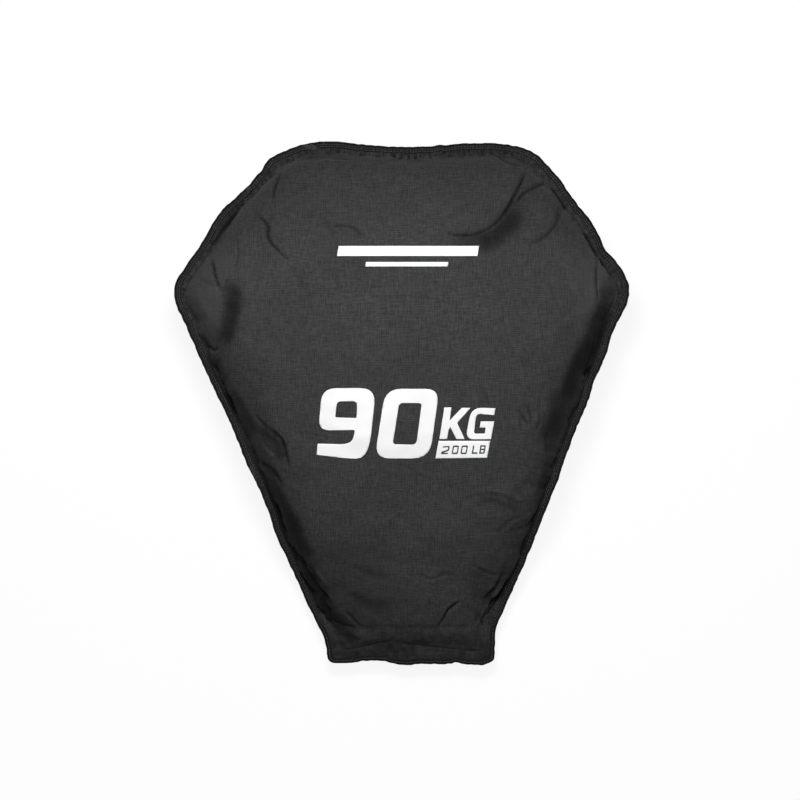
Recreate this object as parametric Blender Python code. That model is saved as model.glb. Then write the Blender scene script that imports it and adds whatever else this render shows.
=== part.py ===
"""A stuffed sandbag trainer: two cloth panels, a bound flange and a zipped filling mouth.

The bag lies on its back panel. +X is to the right of someone who looks down on the
front panel, +Y is the wide shoulder end, -Y is the mouth and +Z is up. All sizes are
in metres, and the origin is on the floor under the middle of the bag.
"""

import bmesh
import bpy
from math import atan2, cos, hypot, pi, radians, sin, tan

# Outline, measured over the binding and seen from the front
bag_length = 0.786
bag_width = 0.688  # between the widest corners, as if they were sharp
top_width = 0.362  # between the corners that the top edge would have if they were sharp
shoulder_drop = 0.226  # from the top edge down to the widest corners
shoulder_bulge = 0.011
shoulder_round = 0.9
widest_round = 0.020
top_round = 0.050
neck_width = 0.256
neck_length = 0.044

# Height over the floor
bag_thickness = 0.205
neck_thickness = 0.115  # over the lower end of the ridge, where the neck begins
seam_height = 0.100
mouth_height = 0.030

# How far the front's slopes run from the seam to the ridge
top_run = 0.262
neck_run = 0.115

# Roundness of the slopes: 2 is an ellipse and 1 is a straight slope
side_power = 3.0
neck_power = 1.25
back_power = 2.4
back_run_share = 0.24  # of the way to the ridge, where the back panel meets the floor
neck_blend_share = 0.30  # of the side's length, over which the neck's slope turns into the side's

# Cloth, tape and the clearance between pieces
cloth = 0.0015
liner_cloth = 0.0008
gap = 0.0003
nest_gap = 0.0004
flange_width = 0.022
binding_wall = 0.0012
binding_width = 0.010
binding_chamfer = 0.0006

# Mouth
mouth_rise = 0.014  # from the zip's middle to the inside of the front panel
mouth_corner = 0.003
mouth_power = 6
neck_rim = 0.008
zip_set_in = 0.0025
lip_thickness = 0.002
lip_round = 0.014
lip_least_round = 0.003
lip_binding_width = 0.008
lip_power = 2.6
strip_width = 0.020
strip_thickness = 0.0022
strip_room = 0.0005

# Zip
tooth_pitch = 0.0052
tooth_head = 0.0024
tooth_neck = 0.0017
tooth_reach = 0.0016  # past the middle of the chain
bead_width = 0.0017
chain_half_width = 0.0042
chain_depth = 0.0030
tape_thickness = 0.0008
stop_length = 0.0040
chain_end_room = 0.0010

# Slider and pull
slider_length = 0.018
shield_thickness = 0.0014
shield_waist = 0.0008
slider_flange = 0.0012
arch_half_length = 0.0060
arch_width = 0.0030
arch_thickness = 0.0015
arch_foot = 0.0005  # how deep the arch's feet go into the shield
pin_radius = 0.0008
pin_room = 0.0005
pull_length = 0.0200
pull_thickness = 0.0018
pull_arm = 0.0013
pull_arm_room = 0.0006
pull_window = 0.0072
pull_arm_end = 0.0005
pull_hole = 0.0013
pull_hole_set_in = 0.0034
pull_room = 0.0030  # between the end of the raised pull and the closed part of the lips
strip_margin = 0.0015

# Filling sleeve
sleeve_depth = 0.014
sleeve_round = 0.004

# Counts and shares
side_steps = 10
arc_steps = 4
shoulder_steps = 4
top_steps = 3
front_steps = 7
back_steps = 5
lip_steps = 5
mouth_shares = (0.0, 0.40, 0.68, 0.85, 0.95, 1.0)
zip_end_share = 0.85

half = 0.5
seam_half_gap = gap / 2
top_y = bag_length / 2
mouth_end_y = -bag_length / 2
widest_y = top_y - shoulder_drop
neck_root_y = mouth_end_y + neck_length


# The zip, the cavity in front of it and the closed part of the lips, from the mouth's end inwards
strip_outer_y = mouth_end_y + lip_binding_width + strip_room
strip_inner_y = strip_outer_y + strip_width
bend_y = strip_inner_y + strip_margin
pin_from_shield = pin_radius + pin_room
pin_reach = chain_depth / 2 + gap + shield_thickness + pin_from_shield
zip_y = bend_y + pull_room + pull_length + pin_reach
panel_end_y = zip_y - zip_set_in
lip_root_y = panel_end_y - gap
seam_end_y = panel_end_y + neck_rim
liner_end_y = seam_end_y + cloth + nest_gap
sleeve_low_y = liner_end_y + nest_gap
sand_end_y = sleeve_low_y + sleeve_depth + nest_gap

# The ridge that every slope of the front runs up to
ridge_low_y = seam_end_y + neck_run
ridge_high_y = top_y - flange_width - top_run
seam_rise_start_y = seam_end_y + flange_width
seam_rise_end_y = ridge_low_y + neck_run

# Depth of each layer below the bag's outer face
panel_depth = cloth
liner_depth = panel_depth + nest_gap
liner_in_depth = liner_depth + liner_cloth
sand_depth = liner_in_depth + nest_gap

closed_rise = seam_half_gap + strip_thickness + gap
hinge_z = mouth_height + mouth_rise + lip_thickness


def smooth(value):
    value = min(1, max(0, value))
    return value * value * (3 - 2 * value)


def seam_z(y):
    """Height of the seam between the panels: low at the mouth, level round the body."""
    rise = smooth((y - seam_rise_start_y) / (seam_rise_end_y - seam_rise_start_y))
    return mouth_height + (seam_height - mouth_height) * rise


# Outline

def edge_corners():
    """Sharp corners of the right half, from the neck up to the middle of the top edge."""
    widest = (bag_width / 2, widest_y)
    top = (top_width / 2, top_y)
    run = (top[0] - widest[0], top[1] - widest[1])
    length = hypot(*run)
    middle = (
        (widest[0] + top[0]) / 2 + shoulder_bulge * run[1] / length,
        (widest[1] + top[1]) / 2 - shoulder_bulge * run[0] / length,
    )
    return [(neck_width / 2, neck_root_y), widest, middle, top, (0, top_y)]


def moved_in(start, end, inset):
    """The line from start to end, moved to its left by inset, as a point and a direction."""
    run = (end[0] - start[0], end[1] - start[1])
    length = hypot(*run)
    along = (run[0] / length, run[1] / length)
    return (start[0] - along[1] * inset, start[1] + along[0] * inset), along


def crossing(line_a, line_b):
    (ax, ay), (ux, uy) = line_a
    (bx, by), (vx, vy) = line_b
    t = ((bx - ax) * vy - (by - ay) * vx) / (ux * vy - uy * vx)
    return ax + ux * t, ay + uy * t


def side_x(y, inset):
    """How far out the side's edge is at y, below the widest corner."""
    corners = edge_corners()
    side = moved_in(corners[0], corners[1], inset)
    return crossing(side, ((0, y), (1, 0)))[0]


def rounded(before, corner, after, radius, steps):
    """Points of the arc that rounds a corner."""
    to_before = atan2(before[1] - corner[1], before[0] - corner[0])
    to_after = atan2(after[1] - corner[1], after[0] - corner[0])
    opening = (to_before - to_after) % (2 * pi)
    if opening > pi:
        opening = 2 * pi - opening
    tangent = radius / tan(opening / 2)
    reach = min(
        tangent,
        hypot(before[0] - corner[0], before[1] - corner[1]) * half,
        hypot(after[0] - corner[0], after[1] - corner[1]) * half,
    )
    start = (corner[0] + cos(to_before) * reach, corner[1] + sin(to_before) * reach)
    end = (corner[0] + cos(to_after) * reach, corner[1] + sin(to_after) * reach)
    points = []
    for step in range(steps + 1):
        t = step / steps
        from_start = (1 - t) * (1 - t)
        from_end = t * t
        weight = 2 * t * (1 - t) * sin(opening / 2)
        total = from_start + weight + from_end
        points.append(tuple(
            (from_start * start[axis] + weight * corner[axis] + from_end * end[axis]) / total
            for axis in (0, 1)
        ))
    return points


def between(start, end, steps):
    """Points that divide the line from start to end, without its ends."""
    return [
        (start[0] + (end[0] - start[0]) * step / steps, start[1] + (end[1] - start[1]) * step / steps)
        for step in range(1, steps)
    ]


def mouth_half():
    """Half the width of the mouth, from the neck corner of the innermost layer."""
    return side_x(liner_end_y, flange_width + liner_in_depth) - mouth_corner


def right_half(inset, end_y):
    """The outline's right half at an inset, closed by a straight neck end at end_y.

    The side's points start from the panel's end whatever end_y is, so that the facets of
    nested layers lie along each other.
    """
    corners = edge_corners()
    lines = [moved_in(corners[n], corners[n + 1], inset) for n in range(4)]
    neck = crossing(lines[0], ((0, end_y), (1, 0)))
    side_start = crossing(lines[0], ((0, panel_end_y), (1, 0)))
    widest = crossing(lines[0], lines[1])
    shoulder = crossing(lines[1], lines[2])
    top = crossing(lines[2], lines[3])
    middle = (0, top_y - inset)

    at_widest = rounded(neck, widest, shoulder, widest_round, arc_steps)
    at_shoulder = rounded(widest, shoulder, top, shoulder_round, shoulder_steps)
    at_top = rounded(shoulder, top, middle, top_round, arc_steps)
    points = [(share * mouth_half(), end_y) for share in mouth_shares]
    points.append(neck)
    points += between(side_start, at_widest[0], side_steps) + at_widest
    points += between(at_widest[-1], at_shoulder[0], 2) + at_shoulder
    points += between(at_shoulder[-1], at_top[0], 2) + at_top
    points += between(at_top[-1], middle, top_steps)
    points.append(middle)
    return points


def both_halves(points):
    """A closed ring from its right half, which starts and ends on the middle line."""
    return points + [(-x, y) for x, y in reversed(points[1:-1])]


def mirrored_values(values):
    return values + list(reversed(values[1:-1]))


def mouth_opening(x):
    """How far the inside of the mouth stands off its middle at x, next to the zip."""
    share = abs(x) / mouth_half()
    if share >= 1:
        return 0
    return mouth_rise * (1 - share ** mouth_power)


# Layers of the pouch

def ridge_shares():
    """For each point of the right half, how far up the ridge its slope ends."""
    points = right_half(0, panel_end_y)
    return [min(1, max(0, (y - panel_end_y) / (widest_y - panel_end_y))) for x, y in points]


def ridge_point(share, depth):
    y = ridge_low_y + (ridge_high_y - ridge_low_y) * share
    height = neck_thickness + (bag_thickness - neck_thickness) * sin(share * pi / 2)
    return 0, y, height - depth


def edge_z(x, y, depth, side):
    """Height of a layer's edge: side is 1 for the front of the bag and -1 for the back."""
    at_mouth = y < seam_rise_start_y
    standing = mouth_opening(x) if at_mouth else 0
    return seam_z(y) + side * (seam_half_gap + max(0, standing + cloth - depth))


def layer_outline(depth, end_y):
    return both_halves(right_half(flange_width + depth, end_y))


def front_layer(depth, end_y):
    """Rings from the seam up the front, and the ridge points that the last ring joins."""
    outline = layer_outline(depth, end_y)
    shares = mirrored_values(ridge_shares())
    rings = []
    for step in range(front_steps):
        angle = step / front_steps * pi / 2
        ring = []
        for (x, y), share in zip(outline, shares):
            power = neck_power + (side_power - neck_power) * smooth(share / neck_blend_share)
            inward = 1 - cos(angle) ** (2 / power)
            upward = sin(angle) ** (2 / power)
            _, ridge_y, ridge_z = ridge_point(share, depth)
            low = edge_z(x, y, depth, 1)
            ring.append((
                x * (1 - inward),
                y + (ridge_y - y) * inward,
                low + (ridge_z - low) * upward,
            ))
        rings.append(ring)
    return rings, [ridge_point(share, depth) for share in shares]


def back_layer(depth, end_y):
    """Rings from the seam down the back to the flat that rests on the floor."""
    outline = layer_outline(depth, end_y)
    shares = mirrored_values(ridge_shares())
    rings = []
    for step in range(back_steps + 1):
        angle = step / back_steps * pi / 2
        inward = (1 - cos(angle) ** (2 / back_power)) * back_run_share
        downward = sin(angle) ** (2 / back_power)
        ring = []
        for (x, y), share in zip(outline, shares):
            ridge_y = ridge_point(share, depth)[1]
            high = edge_z(x, y, depth, -1)
            ring.append((
                x * (1 - inward),
                y + (ridge_y - y) * inward,
                depth if step == back_steps else high + (depth - high) * downward,
            ))
        rings.append(ring)
    return rings


def flange_ring(depth, side):
    """The panel's raw edge, inside the binding."""
    ring = both_halves(right_half(binding_wall + gap, panel_end_y))
    return [(x, y, edge_z(x, y, depth, side)) for x, y in ring]


# Mesh helpers

def add_ring(mesh, points):
    return [mesh.verts.new(point) for point in points]


def skin(mesh, ring_a, ring_b, closed=True):
    """Faces between two rings of as many points."""
    count = len(ring_a)
    for n in range(count if closed else count - 1):
        after = (n + 1) % count
        corners = [ring_a[n], ring_a[after], ring_b[after], ring_b[n]]
        corners = [v for k, v in enumerate(corners) if v not in corners[:k]]
        if len(corners) > 2:
            mesh.faces.new(corners)


def add_ridge(mesh, points):
    """One vertex for each place on the ridge, shared by all the slopes that end there."""
    made = {}
    verts = []
    for point in points:
        if point[1] not in made:
            made[point[1]] = mesh.verts.new(point)
        verts.append(made[point[1]])
    return verts


def add_front(mesh, depth, end_y):
    """Skin of one front layer. Its lowest ring is given back."""
    rings, ridge = front_layer(depth, end_y)
    verts = [add_ring(mesh, ring) for ring in rings]
    verts.append(add_ridge(mesh, ridge))
    for lower, upper in zip(verts, verts[1:]):
        skin(mesh, lower, upper)
    return verts[0]


def add_back(mesh, depth, end_y):
    """Skin of one back layer with its flat. Its highest ring is given back."""
    verts = [add_ring(mesh, ring) for ring in back_layer(depth, end_y)]
    for upper, lower in zip(verts, verts[1:]):
        skin(mesh, upper, lower)
    mesh.faces.new(verts[-1])
    return verts[0]


def make_material(name, colour, roughness, metallic=0.0):
    material = bpy.data.materials.new(name)
    material.use_nodes = True
    shader = material.node_tree.nodes["Principled BSDF"]
    shader.inputs["Base Color"].default_value = (*colour, 1.0)
    shader.inputs["Roughness"].default_value = roughness
    shader.inputs["Metallic"].default_value = metallic
    return material


def finish(mesh, name, material, sharp_degrees=40):
    """Turn a bmesh into an object whose faces point out."""
    bmesh.ops.recalc_face_normals(mesh, faces=mesh.faces)
    data = bpy.data.meshes.new(name)
    mesh.to_mesh(data)
    mesh.free()
    data.materials.append(material)
    data.shade_smooth()
    data.set_sharp_from_angle(angle=radians(sharp_degrees))
    piece = bpy.data.objects.new(name, data)
    bpy.context.collection.objects.link(piece)
    return piece


def extruded(mesh, outline, low, high, axis):
    """A solid from a closed outline. axis is the one that the outline is pushed along."""
    def place(point, along):
        values = list(point)
        values.insert(axis, along)
        return values

    lower = add_ring(mesh, [place(point, low) for point in outline])
    upper = add_ring(mesh, [place(point, high) for point in outline])
    skin(mesh, lower, upper)
    mesh.faces.new(lower)
    mesh.faces.new(upper)


def joint_empty(name, location):
    empty = bpy.data.objects.new(name, None)
    empty.location = location
    bpy.context.collection.objects.link(empty)
    return empty


# Panels, liner and filling

def front_panel(material):
    mesh = bmesh.new()
    outer = add_front(mesh, 0, seam_end_y)
    inner = add_front(mesh, panel_depth, seam_end_y + cloth)
    outer_rim = add_ring(mesh, flange_ring(0, 1))
    inner_rim = add_ring(mesh, flange_ring(panel_depth, 1))
    skin(mesh, outer, outer_rim)
    skin(mesh, inner, inner_rim)
    skin(mesh, outer_rim, inner_rim)
    return finish(mesh, "front_panel", material)


def back_panel(material):
    mesh = bmesh.new()
    outer = add_back(mesh, 0, seam_end_y)
    inner = add_back(mesh, panel_depth, seam_end_y + cloth)
    outer_rim = add_ring(mesh, flange_ring(0, -1))
    inner_rim = add_ring(mesh, flange_ring(panel_depth, -1))
    skin(mesh, outer, outer_rim)
    skin(mesh, inner, inner_rim)
    skin(mesh, outer_rim, inner_rim)
    return finish(mesh, "back_panel", material)


def liner_half(name, add_layer, material):
    mesh = bmesh.new()
    outer = add_layer(mesh, liner_depth, liner_end_y)
    inner = add_layer(mesh, liner_in_depth, liner_end_y)
    skin(mesh, outer, inner)
    return finish(mesh, name, material)


def sand_fill(material):
    mesh = bmesh.new()
    front = add_front(mesh, sand_depth, sand_end_y)
    back = add_back(mesh, sand_depth, sand_end_y)
    skin(mesh, front, back)
    return finish(mesh, "sand_fill", material)


def mouth_stations(last_share):
    """Places across the mouth, left to right, out to a share of its half width."""
    shares = [share for share in mouth_shares if share <= last_share]
    places = [share * mouth_half() for share in shares]
    return [-x for x in reversed(places[1:])] + places


def filling_sleeve(material):
    """The liner's neck, folded flat: a pad that fills the liner's mouth."""
    mesh = bmesh.new()
    low_y = sleeve_low_y
    high_y = sleeve_low_y + sleeve_depth
    sections = []
    for x in mouth_stations(zip_end_share):
        rise = mouth_opening(x) - nest_gap - liner_cloth - nest_gap
        bend = min(sleeve_round, rise * half, sleeve_depth * half)
        section = [
            (low_y, rise - bend), (low_y + bend, rise),
            (high_y - bend, rise), (high_y, rise - bend),
            (high_y, bend - rise), (high_y - bend, -rise),
            (low_y + bend, -rise), (low_y, bend - rise),
        ]
        sections.append(add_ring(mesh, [(x, y, mouth_height + z) for y, z in section]))
    for left, right in zip(sections, sections[1:]):
        skin(mesh, left, right)
    mesh.faces.new(sections[0])
    mesh.faces.new(sections[-1])
    return finish(mesh, "filling_sleeve", material)


# Binding

def binding_section(width, inner_half):
    """U of folded tape: insets from the edge, and heights from the middle of the flange."""
    outer_half = inner_half + binding_wall
    return [
        (binding_chamfer, outer_half), (width, outer_half), (width, inner_half),
        (binding_wall, inner_half), (binding_wall, -inner_half), (width, -inner_half),
        (width, -outer_half), (binding_chamfer, -outer_half),
        (0, binding_chamfer - outer_half), (0, outer_half - binding_chamfer),
    ]


def swept_binding(name, paths, material):
    """A tape from one path for each point of its section."""
    mesh = bmesh.new()
    rows = [add_ring(mesh, path) for path in paths]
    for row, after in zip(rows, rows[1:] + rows[:1]):
        skin(mesh, row, after, closed=False)
    mesh.faces.new([row[0] for row in rows])
    mesh.faces.new([row[-1] for row in rows])
    return finish(mesh, name, material)


def edge_binding(material):
    corner = len(mouth_shares)
    paths = []
    for inset, height in binding_section(binding_width, seam_half_gap + cloth + gap):
        ring = both_halves(right_half(inset, panel_end_y))
        ring = ring[corner:len(ring) - corner + 1]
        paths.append([(x, y, seam_z(y) + height) for x, y in ring])
    return swept_binding("edge_binding", paths, material)


# Lips

def lip_plan(inset, root_y):
    """The lips' outline from the root round the mouth's end and back to the root."""
    round_now = max(lip_least_round, lip_round - inset)
    side = neck_width / 2 - inset
    end_y = mouth_end_y + inset
    right = []
    if root_y > neck_root_y:
        right.append((side_x(root_y, inset), root_y))
        right.append((side, neck_root_y))
    else:
        right.append((side, root_y))
    centre = (side - round_now, end_y + round_now)
    for step in range(arc_steps + 1):
        angle = step / arc_steps * pi / 2
        right.append((centre[0] + round_now * cos(angle), centre[1] - round_now * sin(angle)))
    return right + [(-x, y) for x, y in reversed(right)]


def lip_rows():
    """Places along the lips, from the root to the rounded end, with the half width at each."""
    inset = binding_wall + gap
    plan = lip_plan(inset, lip_root_y)
    right = plan[:len(plan) // 2]
    rows = []
    for step in range(lip_steps):
        y = lip_root_y + (bend_y - lip_root_y) * step / lip_steps
        wide = side_x(y, inset) if y > neck_root_y else neck_width / 2 - inset
        rows.append((y, wide))
    rows.append((bend_y, neck_width / 2 - inset))
    rows += [(y, x) for x, y in right[2:]]
    return rows


def lip_rise(x, y):
    """How far the inside of a lip stands off the mouth's middle."""
    along = min(1, max(0, (lip_root_y - y) / (lip_root_y - bend_y)))
    bulge = max(0, mouth_opening(x) - closed_rise)
    return closed_rise + bulge * (1 - along ** lip_power)


def lip(name, side, material):
    mesh = bmesh.new()
    inner_rows = []
    outer_rows = []
    stations = mouth_stations(1)
    for y, wide in lip_rows():
        places = [-wide] + stations + [wide]
        rises = [lip_rise(x, y) for x in places]
        inner_rows.append(add_ring(mesh, [
            (x, y, mouth_height + side * rise) for x, rise in zip(places, rises)
        ]))
        outer_rows.append(add_ring(mesh, [
            (x, y, mouth_height + side * (rise + lip_thickness)) for x, rise in zip(places, rises)
        ]))
    for rows in (inner_rows, outer_rows):
        for row, after in zip(rows, rows[1:]):
            skin(mesh, row, after, closed=False)
    skin(mesh, inner_rows[0], outer_rows[0], closed=False)
    skin(mesh, inner_rows[-1], outer_rows[-1], closed=False)
    for end in (0, -1):
        inner_side = [row[end] for row in inner_rows]
        outer_side = [row[end] for row in outer_rows]
        skin(mesh, inner_side, outer_side, closed=False)
    return finish(mesh, name, material)


def lip_binding(name, side, material):
    middle = mouth_height + side * (closed_rise + lip_thickness / 2)
    paths = []
    for inset, height in binding_section(lip_binding_width, lip_thickness / 2 + gap):
        paths.append([(x, y, middle + height) for x, y in lip_plan(inset, lip_root_y)])
    return swept_binding(name, paths, material)


def closing_strip(name, side, material):
    """Hook or loop tape on the closed part of a lip."""
    mesh = bmesh.new()
    outline = lip_plan(lip_binding_width + strip_room, strip_inner_y)
    low = mouth_height + side * seam_half_gap
    high = mouth_height + side * (seam_half_gap + strip_thickness)
    extruded(mesh, outline, low, high, 2)
    return finish(mesh, name, material)


# Zip

def zip_end_x():
    return zip_end_share * mouth_half()


def chain_end_x():
    return zip_end_x() - chain_end_room - stop_length - gap


def zip_tape(name, side, material):
    mesh = bmesh.new()
    low = chain_half_width + gap
    stations = mouth_stations(zip_end_share)
    outline = [(x, mouth_height + side * (mouth_opening(x) - gap)) for x in stations]
    outline += [(x, mouth_height + side * low) for x in (stations[-1], stations[0])]
    extruded(mesh, outline, zip_y - tape_thickness / 2, zip_y + tape_thickness / 2, 1)
    return finish(mesh, name, material)


def zip_teeth(name, side, material):
    """One row of teeth on its bead. The other row is half a pitch along."""
    mesh = bmesh.new()
    end = chain_end_x()
    count = int((2 * end - tooth_head - tooth_pitch / 2) / tooth_pitch)
    first = -count * tooth_pitch / 2 + (1 - side) * tooth_pitch / 4
    root = chain_half_width - bead_width
    head_root = 0
    outline = [(-end, root), (-end, chain_half_width), (end, chain_half_width), (end, root)]
    for n in reversed(range(count)):
        x = first + n * tooth_pitch + tooth_pitch / 4
        outline += [
            (x + tooth_neck / 2, root), (x + tooth_neck / 2, head_root),
            (x + tooth_head / 2, head_root - tooth_reach / 2), (x + tooth_neck / 2, -tooth_reach),
            (x - tooth_neck / 2, -tooth_reach), (x - tooth_head / 2, head_root - tooth_reach / 2),
            (x - tooth_neck / 2, head_root), (x - tooth_neck / 2, root),
        ]
    outline = [(x, mouth_height + side * z) for x, z in outline]
    extruded(mesh, outline, zip_y - chain_depth / 2, zip_y + chain_depth / 2, 1)
    return finish(mesh, name, material)


def zip_stop(name, side, material):
    mesh = bmesh.new()
    near = chain_end_x() + gap
    far = near + stop_length
    outline = [
        (side * near, mouth_height - chain_half_width), (side * far, mouth_height - chain_half_width),
        (side * far, mouth_height + chain_half_width), (side * near, mouth_height + chain_half_width),
    ]
    extruded(mesh, outline, zip_y - chain_depth / 2, zip_y + chain_depth / 2, 1)
    edges = [edge for edge in mesh.edges if edge.verts[0].co.y != edge.verts[1].co.y]
    bmesh.ops.bevel(
        mesh, geom=edges, offset=gap * 2, offset_type="OFFSET", segments=2,
        profile=0.5, affect="EDGES", clamp_overlap=True,
    )
    return finish(mesh, name, material)


def slider_x():
    """Middle of the slider at rest, closed against the end stop."""
    return chain_end_x() - slider_length / 2


def pin_y():
    return zip_y - pin_reach


def slider_outline(half_width, waist):
    """The shield from the front: round at both ends, drawn in towards the closing end."""
    end = slider_length / 2
    outline = []
    for turn in (1, -1):
        wide = half_width if turn > 0 else half_width - waist
        for step in range(arc_steps * 2 + 1):
            angle = -pi / 2 + pi * step / (arc_steps * 2)
            outline.append((turn * (end - wide + wide * cos(angle)), turn * wide * sin(angle)))
    return outline


def zip_slider(parent, material):
    mesh = bmesh.new()
    x = slider_x()
    half_width = chain_half_width + gap + slider_flange
    face_y = zip_y - chain_depth / 2 - gap
    outline = [(x + a, mouth_height + b) for a, b in slider_outline(half_width, shield_waist)]
    extruded(mesh, outline, face_y - shield_thickness, face_y, 1)
    shield = finish(mesh, "zip_slider", material)

    tape_face_y = zip_y - tape_thickness / 2 - gap
    flange_half_length = slider_length / 2 - half_width
    for side in (1, -1):
        mesh = bmesh.new()
        inner = mouth_height + side * (chain_half_width + gap)
        outer = mouth_height + side * (half_width - shield_waist)
        outline = [
            (x - flange_half_length, inner), (x + flange_half_length, inner),
            (x + flange_half_length, outer), (x - flange_half_length, outer),
        ]
        extruded(mesh, outline, face_y - arch_foot, tape_face_y, 1)
        join(shield, finish(mesh, "slider_flange", material))

    base_y = face_y - shield_thickness + arch_foot
    under_y = pin_y() - pin_from_shield
    over_y = under_y - arch_thickness
    inner_x = arch_half_length - arch_thickness
    profile = [
        (x - arch_half_length, base_y), (x - arch_half_length, under_y),
        (x - inner_x, over_y), (x + inner_x, over_y),
        (x + arch_half_length, under_y), (x + arch_half_length, base_y),
        (x + inner_x, base_y), (x + inner_x, under_y),
        (x - inner_x, under_y), (x - inner_x, base_y),
    ]
    mesh = bmesh.new()
    extruded(mesh, profile, mouth_height - arch_width / 2, mouth_height + arch_width / 2, 2)
    join(shield, finish(mesh, "slider_arch", material))
    hang(shield, parent)
    return shield


def join(piece, tool, operation="UNION"):
    """Add a tool's shape to a piece, or cut it out, with a live Boolean."""
    tool.hide_render = True
    tool.display_type = "WIRE"
    change = piece.modifiers.new(tool.name, "BOOLEAN")
    change.operation = operation
    change.solver = "EXACT"
    change.object = tool
    return change


def hang(piece, parent):
    """Give a piece the origin of its joint, with its tools, and leave its shape where it is."""
    members = [piece] + [change.object for change in piece.modifiers if change.type == "BOOLEAN"]
    for member in members:
        for vertex in member.data.vertices:
            vertex.co -= parent.location
        member.parent = parent


def zip_pull(parent, material):
    """A tab with a window that clears the arch, and a pin under the arch."""
    x = slider_x()
    inner = arch_width / 2 + pull_arm_room
    outer = inner + pull_arm
    tip = pull_length - outer
    window = [(x + pull_window, inner), (x - pull_arm_end, inner), (x - pull_arm_end, outer)]
    outline = window + [
        (x + tip + outer * sin(step / arc_steps * pi / 2), outer * cos(step / arc_steps * pi / 2))
        for step in range(arc_steps + 1)
    ]
    outline += [(px, -z) for px, z in reversed(outline[:-1])]
    outline = [(px, mouth_height + z) for px, z in outline]
    mesh = bmesh.new()
    extruded(mesh, outline, pin_y() - pull_thickness / 2, pin_y() + pull_thickness / 2, 1)
    tab = finish(mesh, "zip_pull", material)

    pin_half = (inner + outer) / 2
    mesh = bmesh.new()
    section = [
        (x + pin_radius * cos(step * pi / 6), pin_y() + pin_radius * sin(step * pi / 6))
        for step in range(12)
    ]
    extruded(mesh, section, mouth_height - pin_half, mouth_height + pin_half, 2)
    join(tab, finish(mesh, "pull_pin", material))

    hole_x = x + pull_length - pull_hole_set_in
    mesh = bmesh.new()
    section = [
        (hole_x + pull_hole * cos(step * pi / 6), mouth_height + pull_hole * sin(step * pi / 6))
        for step in range(12)
    ]
    extruded(mesh, section, pin_y() - pull_thickness, pin_y() + pull_thickness, 1)
    join(tab, finish(mesh, "pull_hole", material), "DIFFERENCE")
    hang(tab, parent)
    return tab


def build():
    for old in list(bpy.data.objects):
        bpy.data.objects.remove(old, do_unlink=True)

    woven = make_material("charcoal_cloth", (0.047, 0.047, 0.049), 0.82)
    tape = make_material("binding_tape", (0.028, 0.028, 0.030), 0.78)
    hook = make_material("hook_tape", (0.020, 0.020, 0.021), 0.55)
    loop = make_material("loop_tape", (0.026, 0.026, 0.028), 0.95)
    zip_cloth = make_material("zip_tape", (0.022, 0.022, 0.023), 0.80)
    plastic = make_material("tooth_plastic", (0.018, 0.018, 0.019), 0.40)
    metal = make_material("slider_metal", (0.055, 0.055, 0.058), 0.35, 0.9)
    lining = make_material("liner_cloth", (0.110, 0.112, 0.115), 0.70)
    sand = make_material("dry_sand", (0.480, 0.370, 0.235), 0.95)

    front_panel(woven)
    back_panel(woven)
    edge_binding(tape)
    liner_half("liner_front", add_front, lining)
    liner_half("liner_back", add_back, lining)
    filling_sleeve(lining)
    sand_fill(sand)

    flap_joint = joint_empty("mouth_flap_joint", (0, panel_end_y, hinge_z))
    for piece in (
        lip("front_lip", 1, woven),
        lip_binding("front_lip_binding", 1, tape),
        closing_strip("hook_strip", 1, hook),
    ):
        hang(piece, flap_joint)
    lip("back_lip", -1, woven)
    lip_binding("back_lip_binding", -1, tape)
    closing_strip("loop_strip", -1, loop)

    zip_tape("zip_tape_front", 1, zip_cloth)
    zip_tape("zip_tape_back", -1, zip_cloth)
    zip_teeth("zip_teeth_front", 1, plastic)
    zip_teeth("zip_teeth_back", -1, plastic)
    zip_stop("zip_start_stop", -1, metal)
    zip_stop("zip_end_stop", 1, metal)
    slider_joint = joint_empty("slider_joint", (slider_x(), pin_y(), mouth_height))
    zip_slider(slider_joint, metal)
    zip_pull(slider_joint, metal)


build()
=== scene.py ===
import math

import bmesh
import bpy
import numpy as np
from mathutils import Matrix, Vector, noise
from mathutils.bvhtree import BVHTree
from mathutils.kdtree import KDTree


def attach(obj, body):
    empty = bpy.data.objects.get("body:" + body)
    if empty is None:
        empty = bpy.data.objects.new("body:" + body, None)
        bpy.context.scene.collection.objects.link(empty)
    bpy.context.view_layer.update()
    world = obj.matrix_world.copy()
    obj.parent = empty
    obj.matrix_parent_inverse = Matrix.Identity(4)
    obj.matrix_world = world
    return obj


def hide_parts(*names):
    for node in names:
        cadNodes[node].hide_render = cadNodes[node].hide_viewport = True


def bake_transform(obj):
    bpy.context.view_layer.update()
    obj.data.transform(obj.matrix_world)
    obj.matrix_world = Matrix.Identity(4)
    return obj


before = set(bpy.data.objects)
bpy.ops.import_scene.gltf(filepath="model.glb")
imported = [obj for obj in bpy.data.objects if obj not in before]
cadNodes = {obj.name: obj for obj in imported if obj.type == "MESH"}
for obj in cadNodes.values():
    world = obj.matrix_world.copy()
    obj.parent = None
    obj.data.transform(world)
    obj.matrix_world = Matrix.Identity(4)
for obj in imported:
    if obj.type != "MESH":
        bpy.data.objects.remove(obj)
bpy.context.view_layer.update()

scene = bpy.context.scene
print("frame loaded:", len(cadNodes), "nodes")

# How the photograph's pixels lie over the bag. The camera looks straight down.
photo = {
    "middleCol": 405.5,  # the bag's own middle line
    "middleRow": 403.0,
    "size": 800,
    "metresPerPixel": 0.0015,
    "trueLevel": 0.07,  # height at which that scale holds
    "cameraDistance": 10.0,
    "sensor": 36.0,
}

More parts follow.
